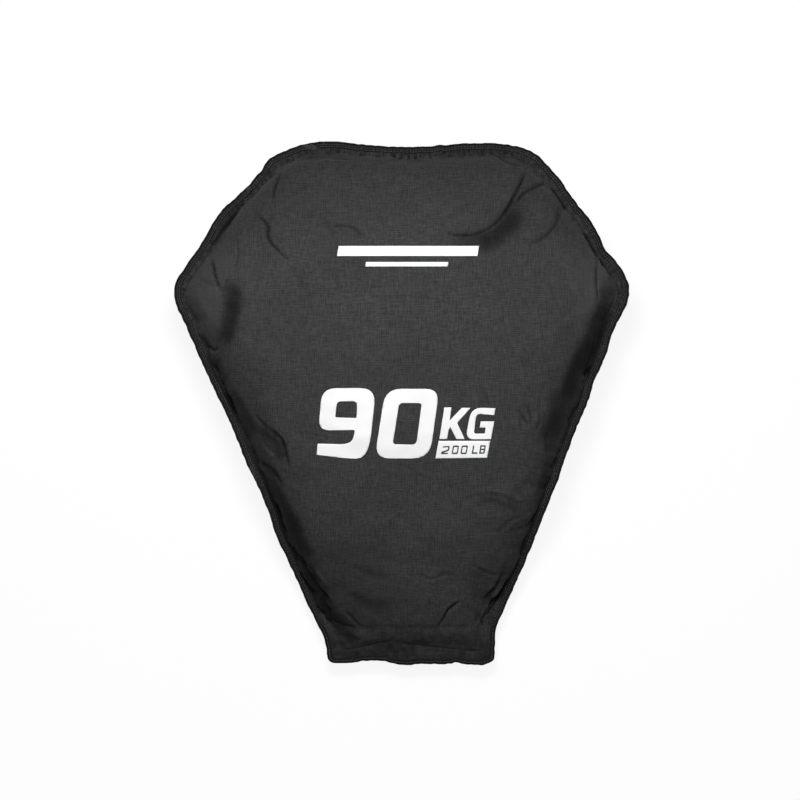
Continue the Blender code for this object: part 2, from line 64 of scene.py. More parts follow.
# Heights and widths of the flange between the two panels, as in the CAD
bag = {
    "mouthLevel": 0.030,
    "seamLevel": 0.100,
    "riseFrom": -0.308,
    "riseTo": -0.100,
    "panelEnd": -0.338,
    "mouthHalf": 0.107,
    "cadFlange": 0.022,
    "cadEndHalf": 0.131,
    "shoulder": (0.172, 0.378),  # where a side turns into the top edge
    "clothTop": 0.0016,  # outer face of a panel's flange over the seam level
    "rippleHeight": 0.0022,
    "edgeSpacing": 0.002,
}

# The bag's edge in the photograph, in pixels: up the left side, over the top, down the
# right side and back along the mouth
edgePixels = [
    (317, 624), (306.5, 602), (288, 560), (278, 540), (264, 500), (245, 460), (229, 420), (210, 380), (192, 340),
    (183, 320), (175.6, 303), (173.8, 292), (177, 280), (190, 260), (203, 240), (214.5, 220), (222, 210),
    (233, 200), (244, 190), (253, 180), (260.5, 171.5), (269, 160), (286, 150), (308, 143.6), (335, 141.2),
    (370, 145), (405, 147), (440, 145), (480, 143), (505, 144.2), (528, 150), (542, 160), (560, 180), (574, 200),
    (590, 220), (600, 238), (606, 250), (616, 261), (627, 279), (629.6, 292), (627.5, 303), (619, 320), (611, 338),
    (605, 357), (601, 367), (594.5, 381), (587.5, 402), (579.5, 422), (572, 440), (558, 480), (542, 520),
    (526, 560), (508, 600), (499, 620), (495.4, 632), (495, 646), (494.3, 655), (492.3, 660.5), (488, 663.6),
    (481, 664.8), (463, 664), (456, 662.4), (448, 663.8), (422, 664), (400, 664.6), (380, 660.6), (362, 661),
    (347, 663.2), (335, 663.2), (328.6, 659), (326.6, 648), (324, 638), (321.5, 632),
]

cameraX = (photo["size"] / 2 - photo["middleCol"]) * photo["metresPerPixel"]
cameraY = (photo["middleRow"] - photo["size"] / 2) * photo["metresPerPixel"]
cameraZ = photo["cameraDistance"] + photo["trueLevel"]


def smoothStep(share):
    return share * share * (3 - 2 * share)


def levelAt(y):
    rise = smoothStep(np.clip((y - bag["riseFrom"]) / (bag["riseTo"] - bag["riseFrom"]), 0, 1))
    return bag["mouthLevel"] + (bag["seamLevel"] - bag["mouthLevel"]) * rise


def pixelSize(z):
    return photo["metresPerPixel"] * (cameraZ - z) / photo["cameraDistance"]


def fromPixel(col, row, z):
    size = pixelSize(z)
    return cameraX + (col - photo["size"] / 2) * size, cameraY + (photo["size"] / 2 - row) * size


def toPixels(points):
    size = pixelSize(points[:, 2])
    cols = photo["size"] / 2 + (points[:, 0] - cameraX) / size
    rows = photo["size"] / 2 - (points[:, 1] - cameraY) / size
    return np.column_stack([cols, rows])


def makeCamera():
    data = bpy.data.cameras.new("photoCamera")
    data.sensor_width = photo["sensor"]
    data.lens = photo["sensor"] * photo["cameraDistance"] / (photo["size"] * photo["metresPerPixel"])
    data.clip_end = 40
    camera = bpy.data.objects.new("photoCamera", data)
    camera.location = (cameraX, cameraY, cameraZ)
    scene.collection.objects.link(camera)
    scene.camera = camera


makeCamera()

# Lines in the plan and in space

def splineThrough(points, perSpan=16, closed=False):
    line = np.array(points, float)
    if closed:
        line = np.vstack([line[-1], line, line[:2]])
    else:
        line = np.vstack([2 * line[0] - line[1], line, 2 * line[-1] - line[-2]])
    t = np.linspace(0, 1, perSpan, endpoint=False)[:, None]
    spans = [0.5 * (2 * b + (c - a) * t + (2 * a - 5 * b + 4 * c - d) * t ** 2
                    + (3 * b - a - 3 * c + d) * t ** 3)
             for a, b, c, d in zip(line, line[1:], line[2:], line[3:])]
    return np.vstack(spans + [line[-2][None]])


def lengthsAlong(line):
    return np.concatenate([[0], np.cumsum(np.linalg.norm(np.diff(line, axis=0), axis=1))])


def atShares(line, shares):
    run = lengthsAlong(line)
    wanted = np.asarray(shares) * run[-1]
    return np.column_stack([np.interp(wanted, run, line[:, k]) for k in range(line.shape[1])])


def evenLine(line):
    count = int(round(lengthsAlong(line)[-1] / bag["edgeSpacing"])) + 1
    return atShares(line, np.linspace(0, 1, count))


def softened(values, passes):
    result = np.array(values, float)
    for _ in range(passes):
        result[1:-1] = (result[:-2] + 2 * result[1:-1] + result[2:]) / 4
    return result


def inwardNormals(line, passes):
    # To the right of the way round: from the left side over the top that is inwards
    tangents = softened(np.gradient(line, axis=0), passes)
    normals = np.column_stack([tangents[:, 1], -tangents[:, 0]])
    return normals / np.linalg.norm(normals, axis=1)[:, None]


def nearestTree(points):
    tree = KDTree(len(points))
    for n, point in enumerate(points):
        tree.insert(point, n)
    tree.balance()
    return tree


def noiseAt(points, scale, seed):
    shift = Vector((seed * 3.1, seed * 7.7, seed * 1.3))
    return np.array([noise.noise(Vector(p) * scale + shift) for p in points])


def noiseAlong(run, scale, seed):
    return np.array([noise.noise(Vector((r * scale, seed * 5.3, 0.5))) for r in run])


def photographedEdge():
    places = []
    for col, row in edgePixels:
        y = fromPixel(col, row, bag["seamLevel"])[1]
        places.append(fromPixel(col, row, float(levelAt(y))))
    ring = splineThrough(places, closed=True)[:-1]
    below = np.flatnonzero(ring[:, 1] < bag["panelEnd"])
    return np.vstack([ring[below[-1] + 1:], ring[:below[0]]]), ring[below[0]:below[-1] + 1]


def cutAtPanelEnd(line):
    # Adds the points at which the line's ends meet the panels' lower edge
    start, finish = [a + (a - b) * (bag["panelEnd"] - a[1]) / (a[1] - b[1])
                     for a, b in (line[:2], line[:-3:-1])]
    return np.vstack([start, line, finish])


def cadEdge():
    # The CAD's outline, found by looking outwards from the middle at many angles
    node = cadNodes["edge_binding"].data
    points = np.array([v.co[:2] for v in node.vertices])
    pairs = np.array([e.vertices[:] for e in node.edges])
    starts, run = points[pairs[:, 0]], points[pairs[:, 1]] - points[pairs[:, 0]]
    low = math.atan2(bag["panelEnd"] + 0.001, -bag["cadEndHalf"]) % (2 * math.pi)
    angles = np.linspace(low, math.pi - low, 1500)
    found = []
    for ray in np.column_stack([np.cos(angles), np.sin(angles)]):
        across = ray[0] * run[:, 1] - ray[1] * run[:, 0]
        across[np.abs(across) < 1e-12] = 1e-12
        reach = (starts[:, 0] * run[:, 1] - starts[:, 1] * run[:, 0]) / across
        share = (starts[:, 0] * ray[1] - starts[:, 1] * ray[0]) / across
        good = (share >= -1e-6) & (share <= 1 + 1e-6) & (reach > 0)
        found.append(ray * reach[good].max())
    line = np.array(found)
    return line[line[:, 1] >= bag["panelEnd"]]


# Width of the flange that shows: narrower along the straight lower sides than at the shoulders
flangeWidths = {
    "heights": [-0.338, -0.28, 0.0, 0.11, 0.19, 0.40],
    "left": [0.0150, 0.0130, 0.0118, 0.0145, 0.0180, 0.0190],
    "right": [0.0235, 0.0132, 0.0126, 0.0150, 0.0180, 0.0190],
    "cornerBlend": 40,  # places over which the seam is led to the mouth's corner
}


def visibleFlange(line):
    left, right = [np.interp(line[:, 1], flangeWidths["heights"], flangeWidths[side])
                   for side in ("left", "right")]
    return np.where(line[:, 0] < 0, left, right)


def seamInside(line, widths, flatten):
    seam = softened(line + inwardNormals(line, 30) * widths[:, None], flatten)
    blend = flangeWidths["cornerBlend"]
    fade = np.linspace(1, 0, blend)[:, None] ** 2
    corner = np.array([bag["mouthHalf"], bag["panelEnd"]])
    seam[:blend] += (corner * (-1, 1) - seam[0]) * fade
    seam[-blend:] += (corner - seam[-1]) * fade[::-1]
    return seam


def sidesOf(seam):
    # Bottom, top, left and right, parted where the shoulders turn into the top edge
    first, last = [int(np.argmin(np.linalg.norm(seam - np.multiply(bag["shoulder"], (way, 1)), axis=1)))
                   for way in (-1, 1)]
    left, top, right = seam[:first + 1], seam[first:last + 1], seam[last:][::-1]
    return np.array([left[0], right[0]]), top, left, right


def patchAt(sides, u, v):
    # A four-sided patch between curves, at shares u across and v along
    bottom, top, left, right = sides
    low, high = atShares(bottom, u)[None], atShares(top, u)[None]
    west, east = atShares(left, v)[:, None], atShares(right, v)[:, None]
    uu, vv = u[None, :, None], v[:, None, None]
    ruled = (1 - vv) * low + vv * high + (1 - uu) * west + uu * east
    corners = ((1 - uu) * (1 - vv) * low[:, :1] + uu * (1 - vv) * low[:, -1:]
               + (1 - uu) * vv * high[:, :1] + uu * vv * high[:, -1:])
    return ruled - corners


def scalloped(line, seed):
    # The stitching draws the edge in a little, unevenly
    run = lengthsAlong(line)
    drawn = noiseAlong(run, 75, seed) * 0.0011 + noiseAlong(run, 150, seed + 1) * 0.0009
    fade = np.clip(np.minimum(run, run[-1] - run) / 0.02, 0, 1)
    return line - inwardNormals(line, 10) * (drawn * fade)[:, None]


bodyEdge, cuffEdge = photographedEdge()
bodyEdge = scalloped(evenLine(cutAtPanelEnd(bodyEdge)), 71)
edgeInward = inwardNormals(bodyEdge, 20)
edgeRun = lengthsAlong(bodyEdge)
seamLine = seamInside(bodyEdge, visibleFlange(bodyEdge), 12)
cadLine = evenLine(cutAtPanelEnd(cadEdge()))
cadSeam = seamInside(cadLine, np.full(len(cadLine), bag["cadFlange"]), 2)


def waves(run, seed, lengths, count=5):
    # A few sine waves of mixed lengths, with a spread of 1
    draw = np.random.default_rng(seed)
    total = np.zeros_like(run)
    for _ in range(count):
        total += np.sin(2 * math.pi * (run / draw.uniform(*lengths) + draw.uniform()))
    return total / math.sqrt(count / 2)


edgeRipple = waves(edgeRun, 11, (0.055, 0.16)) * bag["rippleHeight"]
edgeRipple *= np.interp(bodyEdge[:, 1], [bag["panelEnd"], bag["panelEnd"] + 0.05], [0, 1])
print("edge:", len(bodyEdge), "places,", round(edgeRun[-1], 3), "m")

# Meshes and pieces

def addGrid(mesh, points):
    # A grid of quads through rows of points; gives its corners in their order
    rows, cols = points.shape[:2]
    bmesh.ops.create_grid(mesh, x_segments=cols - 1, y_segments=rows - 1, size=1)
    ordered = sorted(mesh.verts, key=lambda v: (round(v.co.y, 5), round(v.co.x, 5)))
    for vert, place in zip(ordered, points.reshape(-1, 3)):
        vert.co = place
    return ordered


def cadMesh(node):
    mesh = bmesh.new()
    mesh.from_mesh(cadNodes[node].data)
    return mesh


def newVerts(made):
    return [part for part in made["geom"] if isinstance(part, bmesh.types.BMVert)]


def asObject(mesh, name):
    data = bpy.data.meshes.new(name)
    mesh.to_mesh(data)
    mesh.free()
    data.polygons.foreach_set("use_smooth", [True] * len(data.polygons))
    piece = bpy.data.objects.new(name, data)
    scene.collection.objects.link(piece)
    return piece


def modelled(piece, kind, **settings):
    # The piece with one modifier applied
    modifier = piece.modifiers.new("modelled", kind)
    for name, value in settings.items():
        setattr(modifier, name, value)
    bpy.context.view_layer.update()
    graph = bpy.context.evaluated_depsgraph_get()
    data = bpy.data.meshes.new_from_object(piece.evaluated_get(graph), depsgraph=graph)
    piece.modifiers.clear()
    piece.data = data
    data.name = piece.name
    return piece


def subdivided(piece, levels=1):
    return modelled(piece, "SUBSURF", levels=levels, render_levels=levels)


def walled(piece, thickness, offset=-1):
    return modelled(piece, "SOLIDIFY", thickness=thickness, offset=offset)


def vectorsOf(piece, kind="co"):
    flat = np.empty(len(piece.data.vertices) * 3)
    piece.data.vertices.foreach_get(kind, flat)
    return flat.reshape(-1, 3)


def putPlaces(piece, places):
    piece.data.vertices.foreach_set("co", places.ravel())
    piece.data.update()


def treeOf(piece):
    return BVHTree.FromPolygons([v.co for v in piece.data.vertices], [p.vertices for p in piece.data.polygons])


def heightOn(tree, side, x, y, level):
    # Height of an outer face, or of its place nearest to the level where a plumb line misses it
    hit = tree.ray_cast(Vector((x, y, side)), Vector((0, 0, -side)))[0]
    if hit is None:
        hit = tree.find_nearest(Vector((x, y, level)))[0]
    return hit.z


# The two panels: a crowned cloth with the flange that is sewn to the other panel

panel = {
    "front": {"rows": 94, "cols": 76, "stretch": 12, "bend": 0.4, "pressure": 3.0, "shrink": -0.012,
              "cap": 0.0025, "frames": 14, "finer": 2},
    "back": {"rows": 120, "cols": 96, "stretch": 12, "bend": 0.4, "pressure": 2.0, "shrink": -0.012,
             "cap": 0.0025, "frames": 10, "finer": 1},
    "flangeRings": (0.10, 0.22, 0.36, 0.50, 0.64, 0.78, 0.92),  # shares from the seam to the edge
    "thickness": 0.0012,
    "puckerHeight": 0.0050,
    "puckerReach": 0.030,
    "lumpHeight": 0.0030,
}


def crownGrid(node, side, rows, cols):
    tree = treeOf(cadNodes[node])
    fine = 0.5 - 0.5 * np.cos(math.pi * np.linspace(0, 1, 241))
    seen = patchAt(sidesOf(seamLine), fine, fine)
    inCad = patchAt(sidesOf(cadSeam), fine, fine)
    heights = np.array([[heightOn(tree, side, x, max(y, bag["panelEnd"] + 0.0006), 0.05) for x, y in row]
                        for row in inCad])
    edgeTop = levelAt(seen[..., 1]) + side * bag["clothTop"]
    heights[-1], heights[:, 0], heights[:, -1] = edgeTop[-1], edgeTop[:, 0], edgeTop[:, -1]
    points = np.dstack([seen, heights])
    points = np.array([atShares(row, np.linspace(0, 1, cols)) for row in points])
    points = np.array([atShares(points[:, j], np.linspace(0, 1, rows)) for j in range(cols)])
    points = points.transpose(1, 0, 2)
    for _ in range(18):
        middle = (points[:-2, 1:-1] + points[2:, 1:-1] + points[1:-1, :-2] + points[1:-1, 2:]) / 4
        points[1:-1, 1:-1] += (middle - points[1:-1, 1:-1]) * 0.6
    return points


def panelMesh(points, side):
    # The crown is a grid; its sewn sides are extruded ring by ring into the flange
    rows, cols = points.shape[:2]
    mesh = bmesh.new()
    rim = mesh.verts.layers.int.new("rim")
    seamTree = nearestTree([(x, y, 0) for x, y in seamLine])
    for n, vert in enumerate(addGrid(mesh, points)):
        row, col = divmod(n, cols)
        sewn = col in (0, cols - 1) or row == rows - 1
        vert[rim] = seamTree.find((*points[row, col, :2], 0))[1] if sewn else -1
    for share in panel["flangeRings"]:
        edges = [e for e in mesh.edges if e.is_boundary and all(v[rim] >= 0 for v in e.verts)
                 and not all(abs(v.co.y - bag["panelEnd"]) < 1e-4 for v in e.verts)]
        for vert in newVerts(bmesh.ops.extrude_edge_only(mesh, edges=edges)):
            n = vert[rim]
            x, y = seamLine[n] + (bodyEdge[n] - seamLine[n]) * share
            vert.co = (x, y, float(levelAt(y)) + edgeRipple[n] * share ** 1.5 + side * bag["clothTop"])
    if side < 0:
        bmesh.ops.reverse_faces(mesh, faces=mesh.faces[:])
    return mesh


def puffed(piece, free, settings):
    # Cloth that the sand presses outwards, held along its seam
    before = vectorsOf(piece)
    held = piece.vertex_groups.new(name="held")
    held.add([int(n) for n in np.flatnonzero(~free)], 1.0, "ADD")
    modifier = piece.modifiers.new("sandbag", "CLOTH")
    cloth = modifier.settings
    cloth.quality = 3
    cloth.mass = 0.25
    cloth.tension_stiffness = cloth.compression_stiffness = settings["stretch"]
    cloth.shear_stiffness = settings["stretch"] / 3
    cloth.bending_stiffness = settings["bend"]
    cloth.vertex_group_mass = "held"
    cloth.use_pressure = True
    cloth.uniform_pressure_force = settings["pressure"]
    cloth.shrink_min = settings["shrink"]
    cloth.effector_weights.gravity = 0
    modifier.collision_settings.use_collision = False
    modifier.collision_settings.use_self_collision = False
    modifier.point_cache.frame_end = settings["frames"]
    for step in range(1, settings["frames"] + 1):
        scene.frame_set(step)
    moved = vectorsOf(piece.evaluated_get(bpy.context.evaluated_depsgraph_get())) - before
    piece.modifiers.clear()
    piece.vertex_groups.clear()
    scene.frame_set(1)
    size = np.linalg.norm(moved, axis=1)
    limit = settings["cap"]
    share = np.where(size > 1e-9, limit * np.tanh(size / limit) / np.maximum(size, 1e-9), 0)
    putPlaces(piece, before + moved * share[:, None])
    print(piece.name, "puffed, most", round(float(size.max()) * 1000, 1), "mm")


# Folds seen in the photograph: pixels, then half width and depth in millimetres. A valley has a
# low welt on the side to its right, seen the way that its points run.
frontFolds = [
    ([(244, 204), (228, 222), (216, 239), (207, 253)], 2.6, 4.5), ([(283, 172), (276, 185), (272, 202)], 2.6, 2.8),
    ([(252, 211), (261, 218), (267, 226), (268, 238), (278, 250), (291, 262)], 3.6, 2.6),
    ([(209, 257), (214, 274), (221, 291)], 3.0, 3.0), ([(238, 284), (234, 310), (226, 348)], 11.0, 5.5),
    ([(236, 232), (238, 250), (235, 272)], 3.0, 1.0), ([(330, 227), (342, 225), (354, 228), (362, 238)], 3.0, 1.8),
    ([(198, 278), (207, 283), (214, 286)], 3.0, 1.0),
    ([(440, 232), (458, 235), (476, 234), (492, 226), (504, 213), (514, 197), (520, 180)], 3.4, 2.6),
    ([(476, 246), (494, 238), (510, 224), (520, 208)], 15.0, 3.6),
    ([(527, 168), (522, 182), (516, 194), (505, 216)], 3.0, 3.0),
    ([(546, 184), (535, 187), (526, 192), (515, 203)], 3.0, 3.0), ([(551, 187), (559, 199), (567, 211)], 3.2, 3.8),
    ([(583, 231), (591, 245), (598, 258)], 3.2, 3.8), ([(598, 257), (605, 268), (613, 279)], 3.0, 3.2),
    ([(597, 256), (597, 280), (598, 302)], 3.4, 1.6), ([(610, 285), (607, 305), (599, 328)], 10.0, 4.5),
    ([(606, 300), (597, 330), (582, 366)], 14.0, 3.0), ([(557, 200), (557, 222), (540, 240), (524, 243)], 5.0, 1.4),
    ([(486, 153), (500, 158), (512, 163), (524, 166)], 2.8, 2.0), ([(300, 160), (330, 158), (352, 161)], 4.0, 1.4),
    ([(203, 350), (212, 369), (221, 387), (231, 406), (241, 423)], 3.6, 4.0),
    ([(206, 346), (214, 350), (219, 347)], 3.0, 2.4),
    ([(241, 423), (250, 447), (262, 480), (275, 512), (289, 545)], 6.0, 4.5),
    ([(266, 427), (275, 434), (283, 444), (289, 470)], 3.0, 3.0), ([(260, 432), (266, 446), (277, 455)], 3.2, 1.2),
    ([(254, 415), (262, 424), (269, 428)], 3.2, 2.2), ([(258, 462), (272, 470), (284, 486)], 5.0, 2.6),
    ([(282, 505), (294, 520), (300, 538)], 7.0, 3.0), ([(293, 548), (309, 573), (321, 590), (337, 608)], 3.4, 3.0),
    ([(304, 556), (318, 573), (330, 588)], 4.0, -2.0), ([(322, 592), (330, 610), (334, 624)], 4.0, 2.6),
    ([(324, 617), (343, 626), (358, 631), (368, 641)], 3.4, 3.2), ([(345, 610), (356, 622), (364, 633)], 3.4, 1.8),
    ([(603, 330), (593, 352), (580, 380)], 8.0, 5.0), ([(590, 332), (587, 352), (584, 366)], 3.0, -2.4),
    ([(580, 345), (575, 375), (566, 400)], 9.0, 3.4), ([(558, 385), (553, 414), (541, 446)], 8.0, 2.8),
    ([(518, 409), (524, 419), (530, 425)], 2.8, 1.6), ([(527, 404), (530, 414), (531, 421)], 2.8, 1.4),
    ([(537, 410), (539, 420), (536, 430)], 2.8, 1.2), ([(548, 432), (546, 445), (548, 456)], 3.4, 1.4),
    ([(462, 497), (484, 491), (500, 492), (516, 499), (531, 500)], 4.4, -1.3),
    ([(474, 503), (492, 500), (508, 506), (526, 509)], 7.0, 1.2), ([(497, 534), (509, 521), (523, 515)], 5.0, 1.2),
    ([(418, 574), (432, 579), (446, 574), (458, 577)], 4.0, 1.0), ([(470, 563), (490, 574), (513, 573)], 4.0, 1.2),
    ([(503, 572), (495, 588), (485, 601)], 4.0, 2.6), ([(461, 601), (450, 608), (443, 619), (438, 629)], 3.0, 2.6),
    ([(487, 609), (481, 623), (475, 641)], 3.0, 3.0),
    ([(512, 572), (503, 588), (494, 603), (486, 616), (480, 630)], 3.4, 3.2),
    ([(487, 626), (487, 640), (486, 652)], 3.0, 1.6), ([(352, 566), (372, 574), (392, 577)], 6.0, 1.0),
    ([(345, 590), (372, 604), (396, 607)], 8.0, 1.4),
]
lipFolds = [
    ([(334, 651), (350, 648.5), (366, 645.5), (383, 642), (399, 639)], 4.2, 4.6),
    ([(388, 640.5), (410, 643.5), (437, 646.3), (463, 649.2), (492, 651.5)], 3.8, 3.6),
    ([(328, 631), (346, 635), (366, 641)], 3.0, 1.6), ([(388, 648), (398, 657), (403, 663)], 3.0, 1.2),
    ([(402, 659), (430, 658), (452, 656)], 2.4, 1.0), ([(332, 640), (331, 650), (336, 660)], 3.0, 1.2),
    ([(486, 626), (487, 640), (485, 653)], 3.0, 1.4), ([(360, 657), (376, 651), (390, 652)], 4.0, 0.8),
]
# Painted shade in soft dark places: pixels, then half width in millimetres and strength
frontShades = [
    ([(231, 274), (230, 310), (221, 352)], 12, 0.62), ([(212, 354), (220, 374), (228, 390)], 6, 0.40),
    ([(224, 388), (236, 402), (246, 420), (256, 440)], 9, 0.72),
    ([(257, 424), (268, 434), (278, 446), (284, 462)], 10, 0.62),
    ([(446, 240), (488, 240), (511, 220), (522, 192)], 15, 0.42),
    ([(607, 302), (601, 322), (586, 352), (572, 380), (564, 408)], 14, 0.88),
    ([(574, 380), (560, 412), (550, 440)], 10, 0.52), ([(562, 408), (554, 432), (547, 455)], 9, 0.48),
    ([(550, 458), (544, 480), (538, 502)], 7, 0.62),
    ([(250, 424), (268, 470), (292, 528), (318, 592), (338, 645)], 10, 0.52),
    ([(264, 474), (275, 496), (286, 516), (297, 540), (310, 566)], 14, 0.90),
    ([(300, 560), (318, 594), (332, 614), (350, 634), (366, 652)], 11, 0.85),
    ([(342, 634), (400, 628), (475, 634)], 9, 0.20), ([(528, 160), (505, 152), (465, 150), (420, 152)], 6, 0.30),
    ([(262, 176), (245, 196), (230, 218), (212, 246)], 6, 0.45), ([(290, 262), (300, 278), (314, 300)], 4, 0.22),
    ([(300, 214), (320, 218), (338, 240)], 6, 0.16), ([(545, 235), (558, 215), (560, 200)], 4, 0.20),
]
lipShades = [([(314, 596), (334, 620), (348, 634), (362, 647)], 11, 0.80)]
foldScale = {"narrow": 1.3, "broad": 0.8, "width": 0.8, "broadFrom": 5, "welt": 0.4}


def seamDistances(places):
    # Each point's distance to the seam, and how far along the seam that is
    tree = nearestTree([(x, y, float(levelAt(y))) for x, y in seamLine])
    found = [tree.find(place) for place in places]
    return np.array([f[2] for f in found]), edgeRun[[f[1] for f in found]]


def keepPaintedShading(piece, amounts):
    # Painted shade at each point for the cloth's shader, from 0 to 1 as dark as deep in a crease; below 0 it is
    # painted light, paler
    paintedShading = piece.data.attributes.new("paintedShading", "FLOAT", "POINT")
    paintedShading.data.foreach_set("value", np.clip(amounts, -1, 1).astype(np.float32))


def nearLine(pixels, points, reach):
    # The pixels around a line, with their distance to it, its side and their share along it
    line = splineThrough(points, 6)
    where = np.flatnonzero(np.all((pixels > line.min(0) - reach) & (pixels < line.max(0) + reach), axis=1))
    here = pixels[where]
    run = lengthsAlong(line)
    near, side, share = np.full(len(where), 1e9), np.zeros(len(where)), np.zeros(len(where))
    for n, (a, b) in enumerate(zip(line, line[1:])):
        step = b - a
        t = np.clip(((here - a) @ step) / (step @ step), 0, 1)
        off = here - (a + t[:, None] * step)
        distance = np.hypot(off[:, 0], off[:, 1])
        closer = distance < near
        near[closer] = distance[closer]
        side[closer] = np.sign(step[0] * off[closer, 1] - step[1] * off[closer, 0])
        share[closer] = (run[n] + t[closer] * (run[n + 1] - run[n])) / run[-1]
    fade = 0.15 + 0.85 * smoothStep(np.clip(np.minimum(share, 1 - share) * 5, 0, 1))
    return where, near, side, share, fade


def foldDepths(places, folds, shades):
    # The folds' depths, with painted shade in their cores and in the soft dark places
    pixels = toPixels(places)
    scale = photo["metresPerPixel"] * 1000
    depths, paintedShading = np.zeros(len(places)), np.zeros(len(places))
    draw = np.random.default_rng(len(folds))
    knots = np.linspace(0, 1, 7)
    for points, halfWidth, depth in folds:
        where, near, side, share, fade = nearLine(pixels, points, 40)
        near = np.abs(near * side + np.interp(share, knots, draw.uniform(-0.3, 0.3, 7)))
        broad = halfWidth > foldScale["broadFrom"]
        width = halfWidth / scale * (1 if broad else foldScale["width"])
        width = width * np.interp(share, knots, draw.uniform(0.7, 1.3, 7))
        ends = fade * np.interp(share, knots, draw.uniform(0.8, 1.1, 7))
        valley = np.exp(-(near / width) ** 2)
        welt = np.exp(-((near * side - width * 1.7) / (width * 0.9)) ** 2)
        deep = depth / 1000 * foldScale["broad" if broad else "narrow"]
        depths[where] -= deep * ends * (valley - foldScale["welt"] * welt)
        core = np.exp(-(near / (width * (1.1 if broad else 0.7))) ** 2) * ends
        paintedShading[where] = np.maximum(paintedShading[where], core * min(0.55 if broad else 1.0, depth / 2.8))
    for points, halfWidth, strength in shades:
        where, near, side, share, fade = nearLine(pixels, points, 60)
        soft = np.exp(-(near / (halfWidth / scale)) ** 3.2) * fade * strength
        paintedShading[where] = 1 - (1 - paintedShading[where]) * (1 - soft)
    return depths, paintedShading


# Painted shade on the cloth, from the mouth up: 0 is plain, 1 is as dark as the bottom of a crease; the corner and
# rounded entries paint light
paintedShadeTones = {
    "heights": [-0.338, -0.2, -0.05, 0.04, 0.10, 0.4],
    "onLeft": [0.55, 0.50, 0.32, 0.30, 0.02, 0.0],
    "onRight": [0.05, 0.08, 0.40, 0.44, 0.10, 0.0],
    "flangeHeights": [-0.338, -0.2, 0.02, 0.13, 0.4],
    "flange": [0.45, 0.32, 0.10, 0.45, 0.48],
    "top": 0.24,
    "sunk": 0.80,
    "tapeShadow": 0.35,
    "cornerPaintedLight": 0.38,
    "roundedPaintedLight": 0.17,
    "lipRows": [626, 632, 640, 646],
    "lip": [0.38, 0.46, 0.52, 0.66],
}


def wrinkled(piece, side, folds):
    places, normals = vectorsOf(piece), vectorsOf(piece, "normal")
    x, y, z = places.T
    far, along = seamDistances(places)
    crown = z * side > (levelAt(y) * side + 0.003)
    high = np.clip((y - 0.05) / 0.08, 0, 1)
    corner = np.exp(-((np.abs(x) - 0.30) / 0.06) ** 2 - ((y - 0.17) / 0.08) ** 4)

    # Puckers that run from the seam, and lumps of sand
    slant = along + far * 0.35 * noiseAlong(along, 9, 5)
    pucker = noiseAlong(slant, 46, 1) + 0.7 * noiseAlong(slant, 95, 2) + 0.35 * noiseAlong(slant, 190, 3)
    reach = panel["puckerReach"] * (1 + 0.9 * noiseAlong(along, 14, 4))
    depth = pucker * panel["puckerHeight"] * np.exp(-far / reach) * (1 - 0.75 * corner)
    lumps = noiseAt(places, 11, 6) + 0.5 * noiseAt(places, 27, 7) + 0.22 * noiseAt(places, 64, 8)
    depth = (depth + lumps * panel["lumpHeight"]) * np.clip(far / 0.004, 0, 1) * crown

    # Painted shade between the puckers, at the flange's foot, down the sides, over the top and on the flange itself,
    # with a painted shadow beside the tape
    sunk = np.clip(-pucker * 1.5 - 0.12, 0, 1) * np.exp(-far / (reach * 0.8))
    sunk *= (paintedShadeTones["sunk"] - 0.45 * high) * (1 - corner)
    foot = np.exp(-((np.where(crown, far, -far) + 0.0004) / 0.0023) ** 2)
    foot *= (1.0 + 0.5 * noiseAlong(along, 40, 3)) * (1 - 0.35 * high)
    toRight = np.clip(x / 0.16 + 0.5, 0, 1)
    onLeft, onRight = [np.interp(y, paintedShadeTones["heights"], paintedShadeTones[at]) for at in ("onLeft", "onRight")]
    fall = np.exp(-far / (0.050 - 0.018 * toRight * (1 - high)))
    shade = (onLeft + (onRight - onLeft) * toRight) * fall * (1 + 0.8 * noiseAt(places, 20, 10))
    shade = shade * (1 - corner) + paintedShadeTones["top"] * np.clip((y - 0.22) / 0.12, 0, 1)
    flange = np.interp(y, paintedShadeTones["flangeHeights"], paintedShadeTones["flange"])
    flange += 0.45 * noiseAt(places, 230, 12) + 0.40 * noiseAlong(along, 400, 13)
    edgeTree = nearestTree([(a, b, 0) for a, b in bodyEdge])
    toEdge = np.array([edgeTree.find((a, b, 0))[2] for a, b in places[:, :2]])
    tapeShadow = np.exp(-((toEdge - 0.0110) / 0.0010) ** 2) * paintedShadeTones["tapeShadow"]
    paintedShading = np.maximum(np.where(crown, np.maximum(sunk, shade), np.maximum(flange, tapeShadow)), foot)

    # Painted light: paler on the corners and the rounded shoulders, where their slope renders too dark
    rounded = np.exp(-((far - 0.015) / 0.035) ** 2) * high * np.clip(np.abs(x) / 0.05 - 2.8, 0, 1)
    inkWearAndPaintedLight = np.maximum(paintedShadeTones["cornerPaintedLight"] * corner * np.clip(far / 0.004, 0, 1),
                      paintedShadeTones["roundedPaintedLight"] * rounded) * crown
    paintedShading -= inkWearAndPaintedLight * (1 - np.clip(foot * 2, 0, 1))
    if folds:
        valleys, cores = foldDepths(places, folds, frontShades)
        depth += valleys * np.clip(far / 0.003, 0, 1) * crown
        paintedShading = 1 - (1 - paintedShading) * (1 - cores)
    if side < 0:
        depth *= np.clip(z / 0.02, 0, 1)  # flat where it rests
    depth = np.where(crown, depth, 0.0005 * noiseAt(places, 160, 9))
    depth -= 0.0012 * np.clip(1 - (y - bag["panelEnd"]) / 0.006, 0, 1) ** 2
    keepPaintedShading(piece, paintedShading)
    putPlaces(piece, places + normals * depth[:, None])


def keptAbove(piece, low):
    places = vectorsOf(piece)
    places[:, 2] = np.maximum(places[:, 2], low)
    putPlaces(piece, places)


